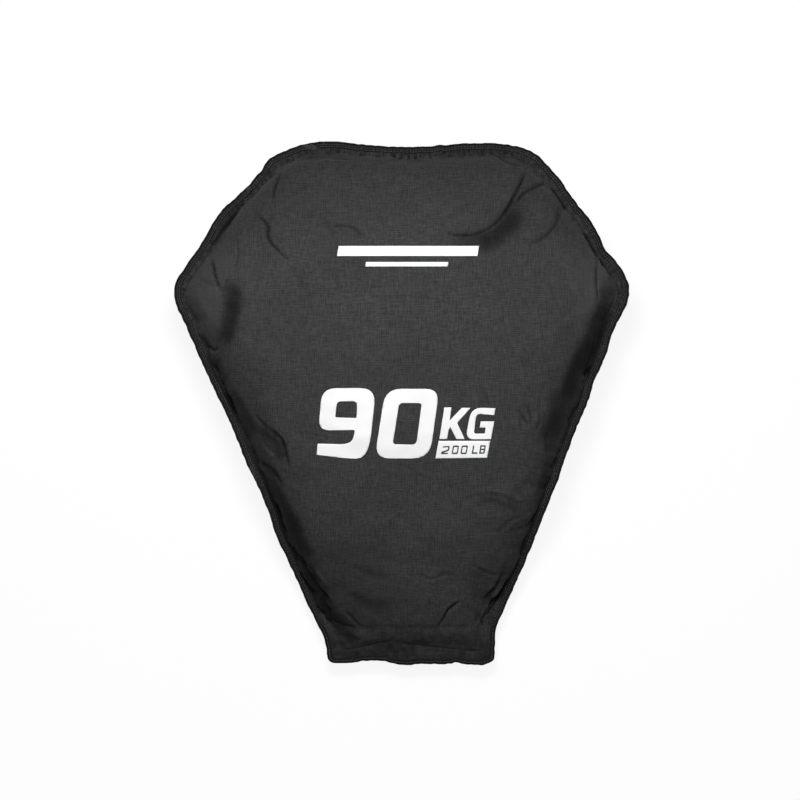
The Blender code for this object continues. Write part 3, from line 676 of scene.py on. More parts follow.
def makePanel(name, node, side, settings, folds):
    points = crownGrid(node, side, settings["rows"], settings["cols"])
    piece = asObject(panelMesh(points, side), name)
    places = vectorsOf(piece)
    free = np.arange(len(places)) < settings["rows"] * settings["cols"]
    free &= (seamDistances(places)[0] > 0.002) & (places[:, 1] > bag["panelEnd"] + 0.003)
    puffed(piece, free, settings)
    if side < 0:
        keptAbove(piece, 0)
    subdivided(piece, settings["finer"])
    wrinkled(piece, side, folds)
    if side < 0:
        keptAbove(piece, 0.0004 * np.clip(noiseAt(vectorsOf(piece), 30, 3) + 0.3, 0, 1))
    walled(piece, panel["thickness"])
    print(name, "made:", len(piece.data.polygons), "faces")
    return piece


frontCloth = makePanel("front_cloth", "front_panel", 1, panel["front"], frontFolds)
backCloth = makePanel("back_cloth", "back_panel", -1, panel["back"], [])
frontTree, backTree = treeOf(frontCloth), treeOf(backCloth)

# Binding tape, folded over an edge and sewn through

binding = {
    "width": 0.0100,
    "top": 0.0029,
    "wall": 0.0009,
    # Its section from the inner edge to the outer fold: shares of the width and of the height
    "section": [(1.00, 0.62), (0.985, 0.90), (0.88, 1.00), (0.77, 0.86), (0.62, 1.04), (0.47, 0.86),
                (0.30, 1.06), (0.14, 0.94), (0.04, 0.62), (0.0, 0.0)],
    "puffedAt": (0.14, 0.30, 0.62),  # shares of the width where it swells unevenly
    "stitchInset": 0.0047,
    "secondInset": 0.0077,
    "stitchStep": 0.0036,
    "stitchLength": 0.0016,
    "stitchWidth": 0.00070,
    "stitchLift": 0.90,
}


def makeTape(name, line, inward, heights, width, top, seed):
    # A grid, stations by section, wrapped over the edge from the front to the back
    run = lengthsAlong(line)
    section = binding["section"] + [(a, -b) for a, b in reversed(binding["section"][:-1])]
    puff = noiseAlong(run, 110, seed) * 0.35 + noiseAlong(run, 260, seed + 1) * 0.25
    border = noiseAlong(run, 60, seed + 2) * 0.0006
    places = np.zeros((len(section), len(line), 3))
    around = lengthsAlong(np.array(section) * (width, top))
    for n, (a, b) in enumerate(section):
        reach = a * width + border * (a > 0.8)
        places[n, :, :2] = line + inward * reach[:, None]
        places[n, :, 2] = heights(np.arange(len(line)), reach) + b * top * (1 + puff * (a in binding["puffedAt"]))
    mesh = bmesh.new()
    index = {vert: n for n, vert in enumerate(addGrid(mesh, places))}
    layer = mesh.loops.layers.uv.new("along")
    for face in mesh.faces:
        for loop in face.loops:
            row, col = divmod(index[loop.vert], len(line))
            loop[layer].uv = (run[col], around[row] - around[len(section) // 2])
    ahead = line[1] - line[0]
    if ahead[0] * inward[0, 1] > ahead[1] * inward[0, 0]:  # its inner side is to the left
        bmesh.ops.reverse_faces(mesh, faces=mesh.faces[:])
    return walled(asObject(mesh, name), binding["wall"])


def flangeHeights(index, inset):
    widths = np.linalg.norm(bodyEdge[index] - seamLine[index], axis=1)
    share = np.clip(1 - inset / widths, 0, 1.1)
    places = bodyEdge[index] + edgeInward[index] * np.reshape(inset, (-1, 1))
    return levelAt(places[:, 1]) + edgeRipple[index] * share ** 1.5


def stitchPlaces(line, inward, heights, inset, lift):
    # Where each stitch of a row sits, and which way it points
    run = lengthsAlong(line)
    wanted = (np.arange(int(run[-1] / binding["stitchStep"])) + 0.5) * binding["stitchStep"]
    index = np.clip(np.searchsorted(run, wanted), 1, len(line) - 2)
    tangent = line[index + 1] - line[index - 1]
    plan = line[index] + inward[index] * inset
    level = heights(index, np.full(len(index), inset)) + lift
    return np.column_stack([plan, level, np.arctan2(tangent[:, 1], tangent[:, 0])])


def makeStitches(name, line, inward, heights, inset, top):
    # A row on the front and one on the back: one bead of thread, doubled until there are
    # enough, then each put at its stitch
    lift = top * binding["stitchLift"]
    stitches = np.vstack([stitchPlaces(line, inward, heights, inset, way * lift) for way in (1, -1)])
    mesh = bmesh.new()
    turn, spot = [mesh.verts.layers.int.new(label) for label in ("stitch", "corner")]
    bmesh.ops.create_uvsphere(mesh, u_segments=6, v_segments=4, radius=1,
                              matrix=Matrix.Rotation(math.pi / 2, 4, "Y"))
    bead = np.array([v.co for v in mesh.verts])
    for n, vert in enumerate(mesh.verts):
        vert[spot] = n
    count = 1
    while count < len(stitches):
        for vert in newVerts(bmesh.ops.duplicate(mesh, geom=mesh.verts[:] + mesh.edges[:] + mesh.faces[:])):
            vert[turn] += count
        count *= 2
    extra = [v for v in mesh.verts if v[turn] >= len(stitches)]
    bmesh.ops.delete(mesh, geom=extra, context="VERTS")
    shape = bead * (binding["stitchLength"], binding["stitchWidth"], binding["stitchWidth"] * 0.8)
    for vert in mesh.verts:
        x, y, z, angle = stitches[vert[turn]]
        along, across, up = shape[vert[spot]]
        vert.co = (x + along * math.cos(angle) - across * math.sin(angle),
                   y + along * math.sin(angle) + across * math.cos(angle), z + up)
    return asObject(mesh, name)


edgeTape = makeTape("edge_tape", bodyEdge, edgeInward, flangeHeights, binding["width"], binding["top"], 21)
edgeStitches, seamStitches = [
    makeStitches(name, bodyEdge, edgeInward, flangeHeights, binding[inset], binding["top"])
    for name, inset in (("edge_stitches", "stitchInset"), ("seam_stitches", "secondInset"))]
print("binding and stitches made")

# Mouth: two lips that close over the zip

lips = {
    "cols": 110,
    "rows": 36,
    "root": -0.3180,
    "rootSpread": 0.0015,
    "rootSink": 0.0042,
    "endLift": 0.0007,
    "thickness": 0.0018,
    "rise": 0.00365,  # from the mouth's middle to the middle of a lip's bound edge
    "bindingWidth": 0.0082,
    "bindingTop": 0.0024,
    "cadHalf": 0.1262,
    "cadEnd": -0.3905,
    "inset": 0.0012,
    "cornerInset": 0.005,
    "stitchInset": 0.0039,
}

# From the left root round the mouth's end to the right root
cuff = scalloped(evenLine(np.vstack([bodyEdge[0], cuffEdge[::-1], bodyEdge[-1]])), 75)
cuffInward = -inwardNormals(cuff, 6)
cuffLow, cuffHigh = cuff.min(0), cuff.max(0)


def lipSides():
    line = cuff + cuffInward * lips["inset"]
    level = cuffLow[1] + lips["cornerInset"]
    first, last = [int(np.argmin(np.linalg.norm(cuff - (x, level), axis=1)))
                   for x in (cuffLow[0] + lips["cornerInset"], cuffHigh[0] - lips["cornerInset"])]
    root = np.array([[line[0][0] - lips["rootSpread"], lips["root"]],
                     [line[-1][0] + lips["rootSpread"], lips["root"]]])
    left = np.vstack([root[0], line[:first + 1]])
    right = np.vstack([line[last:], root[1]])[::-1]
    return root, line[first:last + 1], left, right


def makeLip(name, node, side, folds):
    cloth = frontTree if side > 0 else backTree
    tree = treeOf(cadNodes[node])
    plan = patchAt(lipSides(), np.linspace(0, 1, lips["cols"]), np.linspace(0, 1, lips["rows"]))
    middle, half = (cuffLow[0] + cuffHigh[0]) / 2, (cuffHigh[0] - cuffLow[0]) / 2
    end, level = bag["panelEnd"], bag["mouthLevel"]
    points = np.dstack([plan, np.zeros(plan.shape[:2])])
    for point in points.reshape(-1, 3):
        x, y = point[:2]
        if y > end:
            sink = lips["rootSink"] * (y - end) / (lips["root"] - end)
            point[2] = heightOn(cloth, side, x, y, level) + side * (lips["endLift"] - sink)
        else:
            cadX = np.clip((x - middle) / half, -1, 1) * lips["cadHalf"]
            point[2] = heightOn(tree, side, cadX, min(end - 0.0008, max(y, lips["cadEnd"])), 0.05)
    for _ in range(4):
        inside = (points[:-2, 1:-1, 2] + points[2:, 1:-1, 2] + points[1:-1, :-2, 2] + points[1:-1, 2:, 2]) / 4
        points[1:-1, 1:-1, 2] += (inside - points[1:-1, 1:-1, 2]) * 0.5
    mesh = bmesh.new()
    addGrid(mesh, points)
    if side > 0:
        bmesh.ops.reverse_faces(mesh, faces=mesh.faces[:])
    piece = subdivided(asObject(mesh, name))
    places, normals = vectorsOf(piece), vectorsOf(piece, "normal")
    border = np.clip((places[:, 1] - cuffLow[1] - 0.006) / 0.006, 0.15, 1)
    depth = noiseAt(places, 38, 31 + side) * 0.0012 + noiseAt(places, 90, 32 + side) * 0.0007
    valleys, cores = foldDepths(places, folds, lipShades if folds else [])
    depth = np.clip(depth * border + valleys * 0.25, -0.0007, 0.0006)
    depth *= np.clip((lips["root"] - 0.004 - places[:, 1]) / 0.01, 0, 1)
    # Painted shade over the lip: darker towards the mouth's end, patchy, and deepest in its folds
    rough = noiseAt(places, 60, 33 + side) + 0.6 * noiseAt(places, 130, 34 + side)
    tone = np.interp(toPixels(places)[:, 1], paintedShadeTones["lipRows"], paintedShadeTones["lip"])
    keepPaintedShading(piece, np.maximum(cores, np.clip(tone - 0.30 * rough, 0, 0.9)))
    putPlaces(piece, places + normals * depth[:, None])
    return walled(piece, lips["thickness"])


def alongLip(side):
    # What the tape and the stitches of a lip follow
    def heights(index, inset):
        return np.full(len(index), bag["mouthLevel"] + side * lips["rise"])
    return cuff, cuffInward, heights


frontLip = makeLip("front_mouth_cloth", "front_lip", 1, lipFolds)
backLip = makeLip("back_mouth_cloth", "back_lip", -1, [])
frontLipTape, backLipTape = [
    makeTape(name, *alongLip(side), lips["bindingWidth"], lips["bindingTop"], seed)
    for name, side, seed in (("front_mouth_tape", 1, 41), ("back_mouth_tape", -1, 51))]
frontLipStitches, backLipStitches = [
    makeStitches(name, *alongLip(side), lips["stitchInset"], lips["bindingTop"])
    for name, side in (("front_mouth_stitches", 1), ("back_mouth_stitches", -1))]
print("mouth made")

# Printed load: own figures on a plain lean, laid over the front cloth. Corners are (col, row,
# radius) in pixels.

printing = {"cell": 2.4, "lift": 0.00035, "secondLift": 0.00065, "thickness": 0.0002, "corner": 5}

loadFigures = {
    "nine": [
        [(322, 388.2, 14), (376, 388, 16), (368.5, 458.8, 26), (345, 458.2, 8), (316.6, 454.6, 0),
         (317.8, 443.6, 0), (352, 444.4, 12), (355, 429.8, 2), (318.5, 430.4, 11)],
        [(337, 401.2, 4.5), (357.2, 401.2, 4.5), (356.6, 418, 1.5), (335.2, 417.3, 1.5)],
    ],
    "zero": [
        [(385.5, 388.8, 16), (439.4, 388.8, 14), (429.6, 458.3, 17), (374.6, 458.3, 15)],
        [(399.2, 402.8, 4.5), (421.8, 403, 3.5), (416.4, 444.6, 5), (392.6, 444.2, 3.5)],
    ],
    "unitK": [
        [(444.2, 407.4, 0), (451.4, 407.4, 0), (449.6, 420.6, 0), (461.8, 407.8, 0), (470.4, 407.8, 0),
         (457.2, 422.8, 0), (464.6, 439, 0), (456.4, 439, 0), (450.2, 427, 0), (448.4, 430, 0),
         (447, 439, 0), (439.4, 439, 0)],
    ],
    "unitG": [
        [(471.4, 407.4, 11), (495.4, 408.2, 0), (494.2, 415, 0), (476.4, 413.6, 4), (473.8, 433.8, 3),
         (484.8, 433.4, 0), (485.6, 427.6, 0), (479.6, 427.6, 0), (480.8, 421.4, 0), (494.2, 421.2, 0),
         (491, 439, 0), (465.4, 439.4, 9)],
    ],
    "plate": [
        [(438.6, 440.8, 0), (490.2, 440.8, 0), (487, 457.6, 0), (435.4, 458.4, 0)],
    ],
}
poundFigures = {
    "poundTwo": [[(443.0, 446.2, 0.8), (449.8, 445.6, 1.6), (449.0, 450.6, 1.5), (442.9, 452.6, 0.5),
                  (448.0, 452.6, 0), (447.8, 453.9, 0), (440.9, 453.9, 0), (441.2, 451.6, 1.2),
                  (447.7, 449.6, 1), (448.2, 447.0, 0.6), (442.8, 447.4, 0)]],
    "poundNoughtA": [[(453.0, 445.4, 1.6), (459.2, 445.4, 1.4), (457.8, 453.9, 1.6), (451.6, 453.9, 1.4)],
                     [(454.0, 446.8, 0.8), (457.8, 446.8, 0.6), (456.8, 452.5, 0.8), (453.0, 452.5, 0.6)]],
    "poundNoughtB": [[(461.8, 445.4, 1.6), (468.0, 445.4, 1.4), (466.6, 453.9, 1.6), (460.4, 453.9, 1.4)],
                     [(462.8, 446.8, 0.8), (466.6, 446.8, 0.6), (465.6, 452.5, 0.8), (461.8, 452.5, 0.6)]],
    "poundL": [[(473.0, 445.4, 0), (474.4, 445.4, 0), (473.2, 452.2, 0.5), (477.4, 452.2, 0),
                (477.2, 453.6, 0), (471.6, 453.6, 0)]],
    "poundB": [[(480.4, 445.2, 0), (486.0, 445.2, 1.4), (485.2, 449.0, 0.6), (484.6, 453.6, 1.6), (479.0, 453.6, 0)],
               [(481.4, 446.5, 0), (484.4, 446.5, 0.5), (484.0, 448.6, 0.5), (481.1, 448.6, 0)],
               [(480.9, 449.9, 0), (483.8, 449.9, 0.5), (483.3, 452.3, 0.5), (480.5, 452.3, 0)]],
}
# Two plain slanted bars above the load
plainBars = {
    "barLong": [[(338.6, 246, 0), (479.0, 246, 0), (477.4, 256, 0), (337.0, 256, 0)]],
    "barShort": [[(366.0, 262, 0), (448.4, 262, 0), (447.6, 266.5, 0), (365.2, 266.5, 0)]],
}


def roundedShape(corners):
    points = []
    for n, (col, row, radius) in enumerate(corners):
        here = np.array([col, row], float)
        if radius <= 0:
            points.append(here)
            continue
        ways = [np.array(other[:2]) - here for other in (corners[n - 1], corners[(n + 1) % len(corners)])]
        start, end = [here + way / np.linalg.norm(way) * min(radius, np.linalg.norm(way) / 2) for way in ways]
        for t in np.linspace(0, 1, printing["corner"] + 1):
            points.append((1 - t) ** 2 * start + 2 * t * (1 - t) * here + t * t * end)
    return points


def flatMesh(shapes):
    # Filled outlines as one mesh in pixel units, cut into small cells so that it can bend
    together = bmesh.new()
    for outlines in shapes.values():
        curve = bpy.data.curves.new("outline", "CURVE")
        curve.dimensions = "2D"
        curve.fill_mode = "BOTH"
        for points in map(roundedShape, outlines):
            spline = curve.splines.new("POLY")
            spline.points.add(len(points) - 1)
            spline.use_cyclic_u = True
            for spot, (col, row) in zip(spline.points, points):
                spot.co = (col, -row, 0, 1)
        holder = bpy.data.objects.new("outline", curve)
        scene.collection.objects.link(holder)
        bpy.context.view_layer.update()
        together.from_mesh(holder.evaluated_get(bpy.context.evaluated_depsgraph_get()).to_mesh())
        bpy.data.objects.remove(holder)
    bmesh.ops.remove_doubles(together, verts=together.verts[:], dist=0.002)
    for axis, normal in enumerate((Vector((1, 0, 0)), Vector((0, 1, 0)))):
        across = [v.co[axis] for v in together.verts]
        for at in np.arange(min(across) + printing["cell"] / 2, max(across), printing["cell"]):
            geometry = together.verts[:] + together.edges[:] + together.faces[:]
            bmesh.ops.bisect_plane(together, geom=geometry, dist=0.0005, plane_co=normal * at, plane_no=normal)
    return together


def laidOn(cloth, shapes, name, lift):
    mesh = flatMesh(shapes)
    eye = Vector((cameraX, cameraY, cameraZ))
    for vert in mesh.verts:
        x, y = fromPixel(vert.co.x, -vert.co.y, 0)
        hit, normal = cloth.ray_cast(eye, (Vector((x, y, 0)) - eye).normalized())[:2]
        vert.co = hit + normal * lift
    piece = asObject(mesh, name)
    if float(vectorsOf(piece, "normal")[:, 2].mean()) < 0:
        piece.data.flip_normals()
    return walled(piece, printing["thickness"], 1)


loadPrint = laidOn(frontTree, loadFigures, "load_print", printing["lift"])
poundPrint = laidOn(frontTree, poundFigures, "pound_print", printing["secondLift"])
barPrint = laidOn(frontTree, plainBars, "bar_print", printing["lift"])
print("prints made")

# Materials

class Nodes:
    # A node tree and short ways to add to it
    def __init__(self, tree):
        self.tree = tree

    def put(self, value, socket):
        # A constant is set on the socket itself
        if isinstance(value, bpy.types.NodeSocket):
            self.tree.links.new(value, socket)
        else:
            socket.default_value = value

    def add(self, kind, *values, output=0, **named):
        # A node. Values go to its inputs in their order, or by name where that has a capital; other
        # names are facts of the node itself. Gives one of its outputs.
        made = self.tree.nodes.new("ShaderNode" + kind)
        for name, value in named.items():
            if name[0].isupper():
                self.put(value, made.inputs[name])
            else:
                setattr(made, name, value)
        for value, socket in zip(values, [s for s in made.inputs if not s.is_unavailable]):
            self.put(value, socket)
        return made.outputs[output]

    def calc(self, operation, *values):
        return self.add("Math", *values, operation=operation)

    def noise(self, vector, scale, detail=2.0, roughness=0.5):
        return self.add("TexNoise", vector, scale, detail, roughness)

    def ranged(self, value, low, high, toLow, toHigh):
        return self.add("MapRange", value, low, high, toLow, toHigh)

    def mixed(self, share, first, second):
        # Between two colours, each a tone or a socket
        first, second = [(*c, 1) if isinstance(c, tuple) else c for c in (first, second)]
        return self.add("Mix", share, first, second, output="Result", data_type="RGBA")


class Effect(Nodes):
    # A shared node group: a vector and one setting go in, values come out
    def __init__(self, name, setting, value, outputs):
        super().__init__(bpy.data.node_groups.new(name, "ShaderNodeTree"))
        sockets = [("Vector", "INPUT", "NodeSocketVector"), (setting, "INPUT", "NodeSocketFloat")]
        sockets += [(label, "OUTPUT", "NodeSocketFloat") for label in outputs]
        made = [self.tree.interface.new_socket(name=label, in_out=way, socket_type=kind)
                for label, way, kind in sockets]
        made[1].default_value = value
        self.vector, self.setting = self.tree.nodes.new("NodeGroupInput").outputs[:2]
        self.ends = self.tree.nodes.new("NodeGroupOutput").inputs

    def stretched(self, x, y, z):
        return self.add("Mapping", self.vector, (0, 0, 0), (0, 0, 0), (x, y, z))

    def giving(self, *values):
        for value, socket in zip(values, self.ends):
            self.put(value, socket)
        return self.tree


def makePlainWeave():
    # Over and under threads, with thick and thin yarns along both ways
    weave = Effect("plainWeave", "Threads per metre", 700.0, ["Height", "Yarns"])
    calc = weave.calc
    x, y, z = weave.add("SeparateXYZ", weave.vector).node.outputs
    turns = calc("MULTIPLY", weave.setting, math.pi)
    warp, weft = [calc("SINE", calc("MULTIPLY", way, turns)) for way in (x, y)]
    over = calc("MULTIPLY_ADD", calc("MULTIPLY", warp, weft), 0.5, 0.5)
    warpRound = calc("MULTIPLY", calc("ABSOLUTE", warp), over)
    weftRound = calc("MULTIPLY", calc("ABSOLUTE", weft), calc("SUBTRACT", 1.0, over))
    upright = weave.noise(weave.stretched(640, 70, 70), 1.0)
    level = weave.noise(weave.stretched(70, 640, 70), 1.0)
    patches = weave.ranged(weave.noise(weave.vector, 26.0), 0.42, 0.58, 0.0, 1.0)
    rows, columns = [calc("SINE", calc("MULTIPLY", way, 2 * math.pi * count))
                     for way, count in ((y, 300), (x, 290))]
    banded = calc("MULTIPLY_ADD", calc("SUBTRACT", rows, columns), patches, columns)
    yarns = calc("MULTIPLY", calc("ADD", upright, level), 0.5)
    return weave.giving(calc("MAXIMUM", warpRound, weftRound), calc("MULTIPLY_ADD", banded, 0.045, yarns))


def makeWear():
    # Uneven dye and faint dust: a slow cloud, broken up by a fine one
    wear = Effect("clothWear", "Amount", 0.5, ["Mask"])
    slow = wear.ranged(wear.noise(wear.vector, 9.0, 3.0), 0.35, 0.7, 0.0, 1.0)
    fine = wear.ranged(wear.noise(wear.vector, 240.0, 4.0, 0.65), 0.45, 0.75, 0.0, 1.0)
    return wear.giving(wear.calc("MULTIPLY", wear.calc("MULTIPLY", slow, fine), wear.setting))


def makeTapeRibs():
    # Cross ribs of a woven tape, on a map in metres along and across it
    ribs = Effect("tapeRibs", "Ribs per metre", 900.0, ["Height", "Shade"])
    x, y, z = ribs.add("SeparateXYZ", ribs.vector).node.outputs
    turns = ribs.calc("MULTIPLY", ribs.setting, 2 * math.pi)
    leaning = ribs.calc("MULTIPLY_ADD", y, 0.35, x)
    rib = ribs.calc("MULTIPLY_ADD", ribs.calc("SINE", ribs.calc("MULTIPLY", leaning, turns)), 0.5, 0.5)
    height = ribs.calc("MULTIPLY_ADD", ribs.noise(ribs.vector, 900.0), 0.5, rib)
    return ribs.giving(height, ribs.noise(ribs.vector, 70.0, 3.0))


effects = {"weave": makePlainWeave(), "wear": makeWear(), "ribs": makeTapeRibs()}


class Finish(Nodes):
    # A material with its Principled shader
    def __init__(self, name, colour, roughness, sheen=0.0, specular=0.5):
        self.material = bpy.data.materials.new(name)
        self.material.use_nodes = True
        super().__init__(self.material.node_tree)
        self.shader = self.tree.nodes["Principled BSDF"].inputs
        self.colour = colour
        self.feed(Base_Color=(*colour, 1), Roughness=roughness, Sheen_Weight=sheen, Specular_IOR_Level=specular)

    def feed(self, **values):
        for socket, value in values.items():
            self.put(value, self.shader[socket.replace("_", " ")])

    def place(self):
        return self.add("TexCoord", output="Object")

    def effect(self, kind, vector, setting):
        # A shared effect's outputs
        return self.add("Group", vector, setting, node_tree=effects[kind]).node.outputs

    def shades(self, value, dark, light):
        # A darker and a lighter tone of the colour
        return self.mixed(value, *[tuple(c * tone for c in self.colour) for tone in (dark, light)])

    def done(self, colour, height, distance, strength=1.0, **values):
        # The material, once its colour, its bumps and what else varies are fed in
        bump = self.add("Bump", Strength=strength, Distance=distance, Height=height)
        self.feed(Base_Color=colour, Normal=bump, **values)
        return self.material


def charcoalCloth():
    cloth = Finish("charcoalCloth", (0.0358, 0.0358, 0.0362), 0.85, 0.03, 0.02)
    place = cloth.place()
    height, yarns = cloth.effect("weave", place, 640.0)
    dust = cloth.effect("wear", place, 0.35)[0]
    tone = cloth.calc("MULTIPLY_ADD", height, 0.35, cloth.ranged(yarns, 0.36, 0.64, 0.0, 0.65))
    colour = cloth.mixed(dust, cloth.shades(tone, 0.56, 1.56), (0.105, 0.103, 0.100))
    # Painted light towards a paler grey below 0, and painted shade towards near black above 0
    paintedShading = cloth.add("Attribute", output="Fac", attribute_name="paintedShading")
    colour = cloth.mixed(cloth.ranged(paintedShading, -1.0, 0.0, 1.0, 0.0), colour, (0.076, 0.076, 0.077))
    colour = cloth.mixed(cloth.ranged(paintedShading, 0.0, 1.0, 0.0, 0.95), colour, (0.004, 0.004, 0.004))
    return cloth.done(colour, cloth.calc("MULTIPLY_ADD", yarns, 0.8, height), 0.00035, 0.7,
                      Roughness=cloth.ranged(yarns, 0.35, 0.65, 0.92, 0.74))


def bindingFinish():
    tape = Finish("bindingTape", (0.0088, 0.0088, 0.0092), 0.8, 0.1, 0.03)
    along = tape.add("UVMap", uv_map="along")
    height, shade = tape.effect("ribs", along, 620.0)
    # Painted shade: darker towards the tape's outer fold
    across = tape.calc("ABSOLUTE", tape.add("SeparateXYZ", along, output="Y"))
    rim = tape.ranged(across, 0.0032, 0.0052, 0.90, 0.0)
    colour = tape.mixed(rim, tape.shades(height, 0.6, 1.35), (0.003, 0.003, 0.003))
    return tape.done(colour, height, 0.0003, 0.8, Roughness=tape.ranged(shade, 0.3, 0.7, 0.7, 0.9))


def threadFinish(name, colour):
    thread = Finish(name, colour, 0.6, 0.15, 0.08)
    ply = thread.noise(thread.place(), 1500.0)
    return thread.done(thread.shades(ply, 0.65, 1.3), ply, 0.0001, 0.6)


def inkFinish(name, colour):
    # Screen print that lets the weave show faintly
    ink = Finish(name, colour, 0.55, 0.0, 0.1)
    place = ink.place()
    height = ink.effect("weave", place, 640.0)[0]
    crackle = ink.noise(place, 520.0, 4.0, 0.7)
    inkWearAndPaintedLight = ink.calc("MULTIPLY", height, ink.ranged(crackle, 0.35, 0.65, 0.6, 1.0))
    return ink.done(ink.shades(inkWearAndPaintedLight, 0.93, 1.04), height, 0.0002, 0.5,
                    Roughness=ink.ranged(crackle, 0.3, 0.7, 0.48, 0.68))


def zipTapeFinish():
    tape = Finish("zipTape", (0.022, 0.022, 0.023), 0.85, 0.2, 0.05)
    height = tape.effect("weave", tape.place(), 1400.0)[0]
    return tape.done(tape.shades(height, 0.55, 1.6), height, 0.0004, 0.9)


def hookFinish():
    hooks = Finish("hookTape", (0.020, 0.020, 0.021), 0.45, 0.0, 0.12)
    cells = hooks.add("TexVoronoi", hooks.place(), 620.0, Randomness=0.25)
    stems = hooks.ranged(cells, 0.15, 0.45, 1.0, 0.0)
    return hooks.done(hooks.shades(stems, 0.5, 2.6), stems, 0.0008,
                      Roughness=hooks.ranged(stems, 0.0, 1.0, 0.7, 0.3))


def loopFinish():
    loops = Finish("loopTape", (0.017, 0.017, 0.018), 0.95, 0.12, 0.04)
    place = loops.place()
    rows = loops.effect("weave", place, 480.0)[0]
    nap = loops.calc("MULTIPLY_ADD", rows, 0.3, loops.noise(place, 1300.0, 5.0, 0.75))
    return loops.done(loops.shades(loops.ranged(nap, 0.4, 0.9, 0.0, 1.0), 0.5, 2.2), nap, 0.0008)


def toothFinish():
    teeth = Finish("toothPlastic", (0.018, 0.018, 0.019), 0.38)
    place = teeth.place()
    scuff = teeth.noise(place, 60.0, 4.0)
    return teeth.done(teeth.shades(scuff, 0.8, 1.5), teeth.noise(place, 900.0, 3.0), 0.00008, 0.5,
                      Roughness=teeth.ranged(scuff, 0.35, 0.7, 0.3, 0.55))


def metalFinish():
    # Dark coating, rubbed to bare zinc where fingers and cloth touch it
    metal = Finish("sliderMetal", (0.055, 0.055, 0.058), 0.35)
    scuff = metal.noise(metal.place(), 320.0, 5.0, 0.7)
    edges = metal.ranged(metal.add("NewGeometry", output="Pointiness"), 0.52, 0.6, 0.0, 1.0)
    rubbed = metal.calc("MULTIPLY", edges, metal.ranged(scuff, 0.4, 0.6, 0.3, 1.0))
    return metal.done(metal.mixed(rubbed, metal.shades(scuff, 0.8, 1.3), (0.42, 0.42, 0.41)), scuff, 0.00006, 0.5,
                      Metallic=metal.ranged(rubbed, 0.0, 1.0, 0.35, 1.0),
                      Roughness=metal.ranged(scuff, 0.3, 0.7, 0.28, 0.5))


def linerFinish():
    liner = Finish("linerCloth", (0.110, 0.112, 0.115), 0.7, 0.15)
    place = liner.place()
    height = liner.effect("weave", place, 1100.0)[0]
    colour = liner.mixed(liner.effect("wear", place, 0.6)[0], liner.shades(height, 0.75, 1.25), (0.40, 0.32, 0.22))
    return liner.done(colour, height, 0.0002, 0.7)


def sandFinish():
    sand = Finish("drySand", (0.480, 0.370, 0.235), 0.95)
    near, grain = sand.add("TexVoronoi", sand.place(), 1100.0).node.outputs[:2]
    tone = sand.add("SeparateColor", grain, output="Red")
    return sand.done(sand.shades(tone, 0.55, 1.45), sand.calc("SUBTRACT", 1.0, near), 0.0006)


finishes = {
    "cloth": charcoalCloth(),
    "binding": bindingFinish(),
    "edgeThread": threadFinish("edgeThread", (0.036, 0.036, 0.036)),
    "seamThread": threadFinish("seamThread", (0.044, 0.044, 0.045)),
    "ink": inkFinish("whiteInk", (0.85, 0.85, 0.85)),
    "darkInk": inkFinish("darkInk", (0.045, 0.045, 0.047)),
    "zipTape": zipTapeFinish(),
    "loop": loopFinish(),
    "hook": hookFinish(),
    "tooth": toothFinish(),
    "metal": metalFinish(),
    "liner": linerFinish(),
    "sand": sandFinish(),
}


def dressed(piece, finish, node=None, body=None):
    piece.data.materials.clear()
    piece.data.materials.append(finishes[finish])
    if node:
        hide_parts(node)
    if body:
        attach(piece, body)


# What each piece is made of, what it stands for and what it moves with

dressed(frontCloth, "cloth", "front_panel", "bag")
dressed(backCloth, "cloth", "back_panel", "bag")
dressed(edgeTape, "binding", "edge_binding", "bag")
dressed(edgeStitches, "edgeThread", body="bag")
dressed(seamStitches, "seamThread", body="bag")
dressed(backLip, "cloth", "back_lip", "bag")
dressed(backLipTape, "binding", "back_lip_binding", "bag")
dressed(backLipStitches, "edgeThread", body="bag")
dressed(frontLip, "cloth", "front_lip")
dressed(frontLipTape, "binding", "front_lip_binding")
dressed(frontLipStitches, "edgeThread")
for piece, finish in ((loadPrint, "ink"), (poundPrint, "darkInk"), (barPrint, "ink")):
    dressed(piece, finish, body="bag")

for piece in (frontLip, frontLipTape, frontLipStitches):
    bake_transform(piece)

for finish, nodes in {
    "zipTape": ("zip_tape_front", "zip_tape_back"),
    "tooth": ("zip_teeth_front", "zip_teeth_back"),
    "metal": ("zip_start_stop", "zip_end_stop", "zip_slider", "zip_pull"),
}.items():
    for node in nodes:
        dressed(cadNodes[node], finish)

# Liner and sand, hidden inside: copies of the CAD solids that are worked over. Each has its own
# name, roughness, distance kept from the cloths, finish and slot.

inner = {
    "liner_front": ("front_liner_cloth", 0.0006, 0.0060, "liner", "liner_cloth"),
    "liner_back": ("back_liner_cloth", 0.0006, 0.0060, "liner", "liner_cloth"),
    "filling_sleeve": ("sleeve_cloth", 0.0003, 0.0050, "liner", "liner_cloth"),
    "sand_fill": ("packed_sand", 0.0010, 0.0085, "sand", "dry_sand"),
}


def roomAt(x, y):
    # The heights between which a layer may lie, with the folds around counted in
    low, high = 0.0, 1.0
    for across, along in ((0, 0), (0.012, 0), (-0.012, 0), (0, 0.012), (0, -0.012)):
        above = frontTree.ray_cast(Vector((x + across, y + along, 1)), Vector((0, 0, -1)))[0]
        below = backTree.ray_cast(Vector((x + across, y + along, -1)), Vector((0, 0, 1)))[0]
        if above is None or below is None:
            return 0.0, 0.0
        low, high = max(low, below.z), min(high, above.z)
    return low, high


def keptInside(places, margin):
    # Moves each place to within the two cloths, inwards in the plan first, then in height
    kept = places.copy()
    for n, (x, y, z) in enumerate(places):
        if y < bag["panelEnd"] + 0.014:
            continue
        for _ in range(80):
            low, high = roomAt(x, y)
            if high - low > 2.4 * margin:
                kept[n] = x, y, min(max(z, low + margin), high - margin)
                break
            x *= 0.99
            y = y * 0.99 if y > 0.1 else y
    return kept


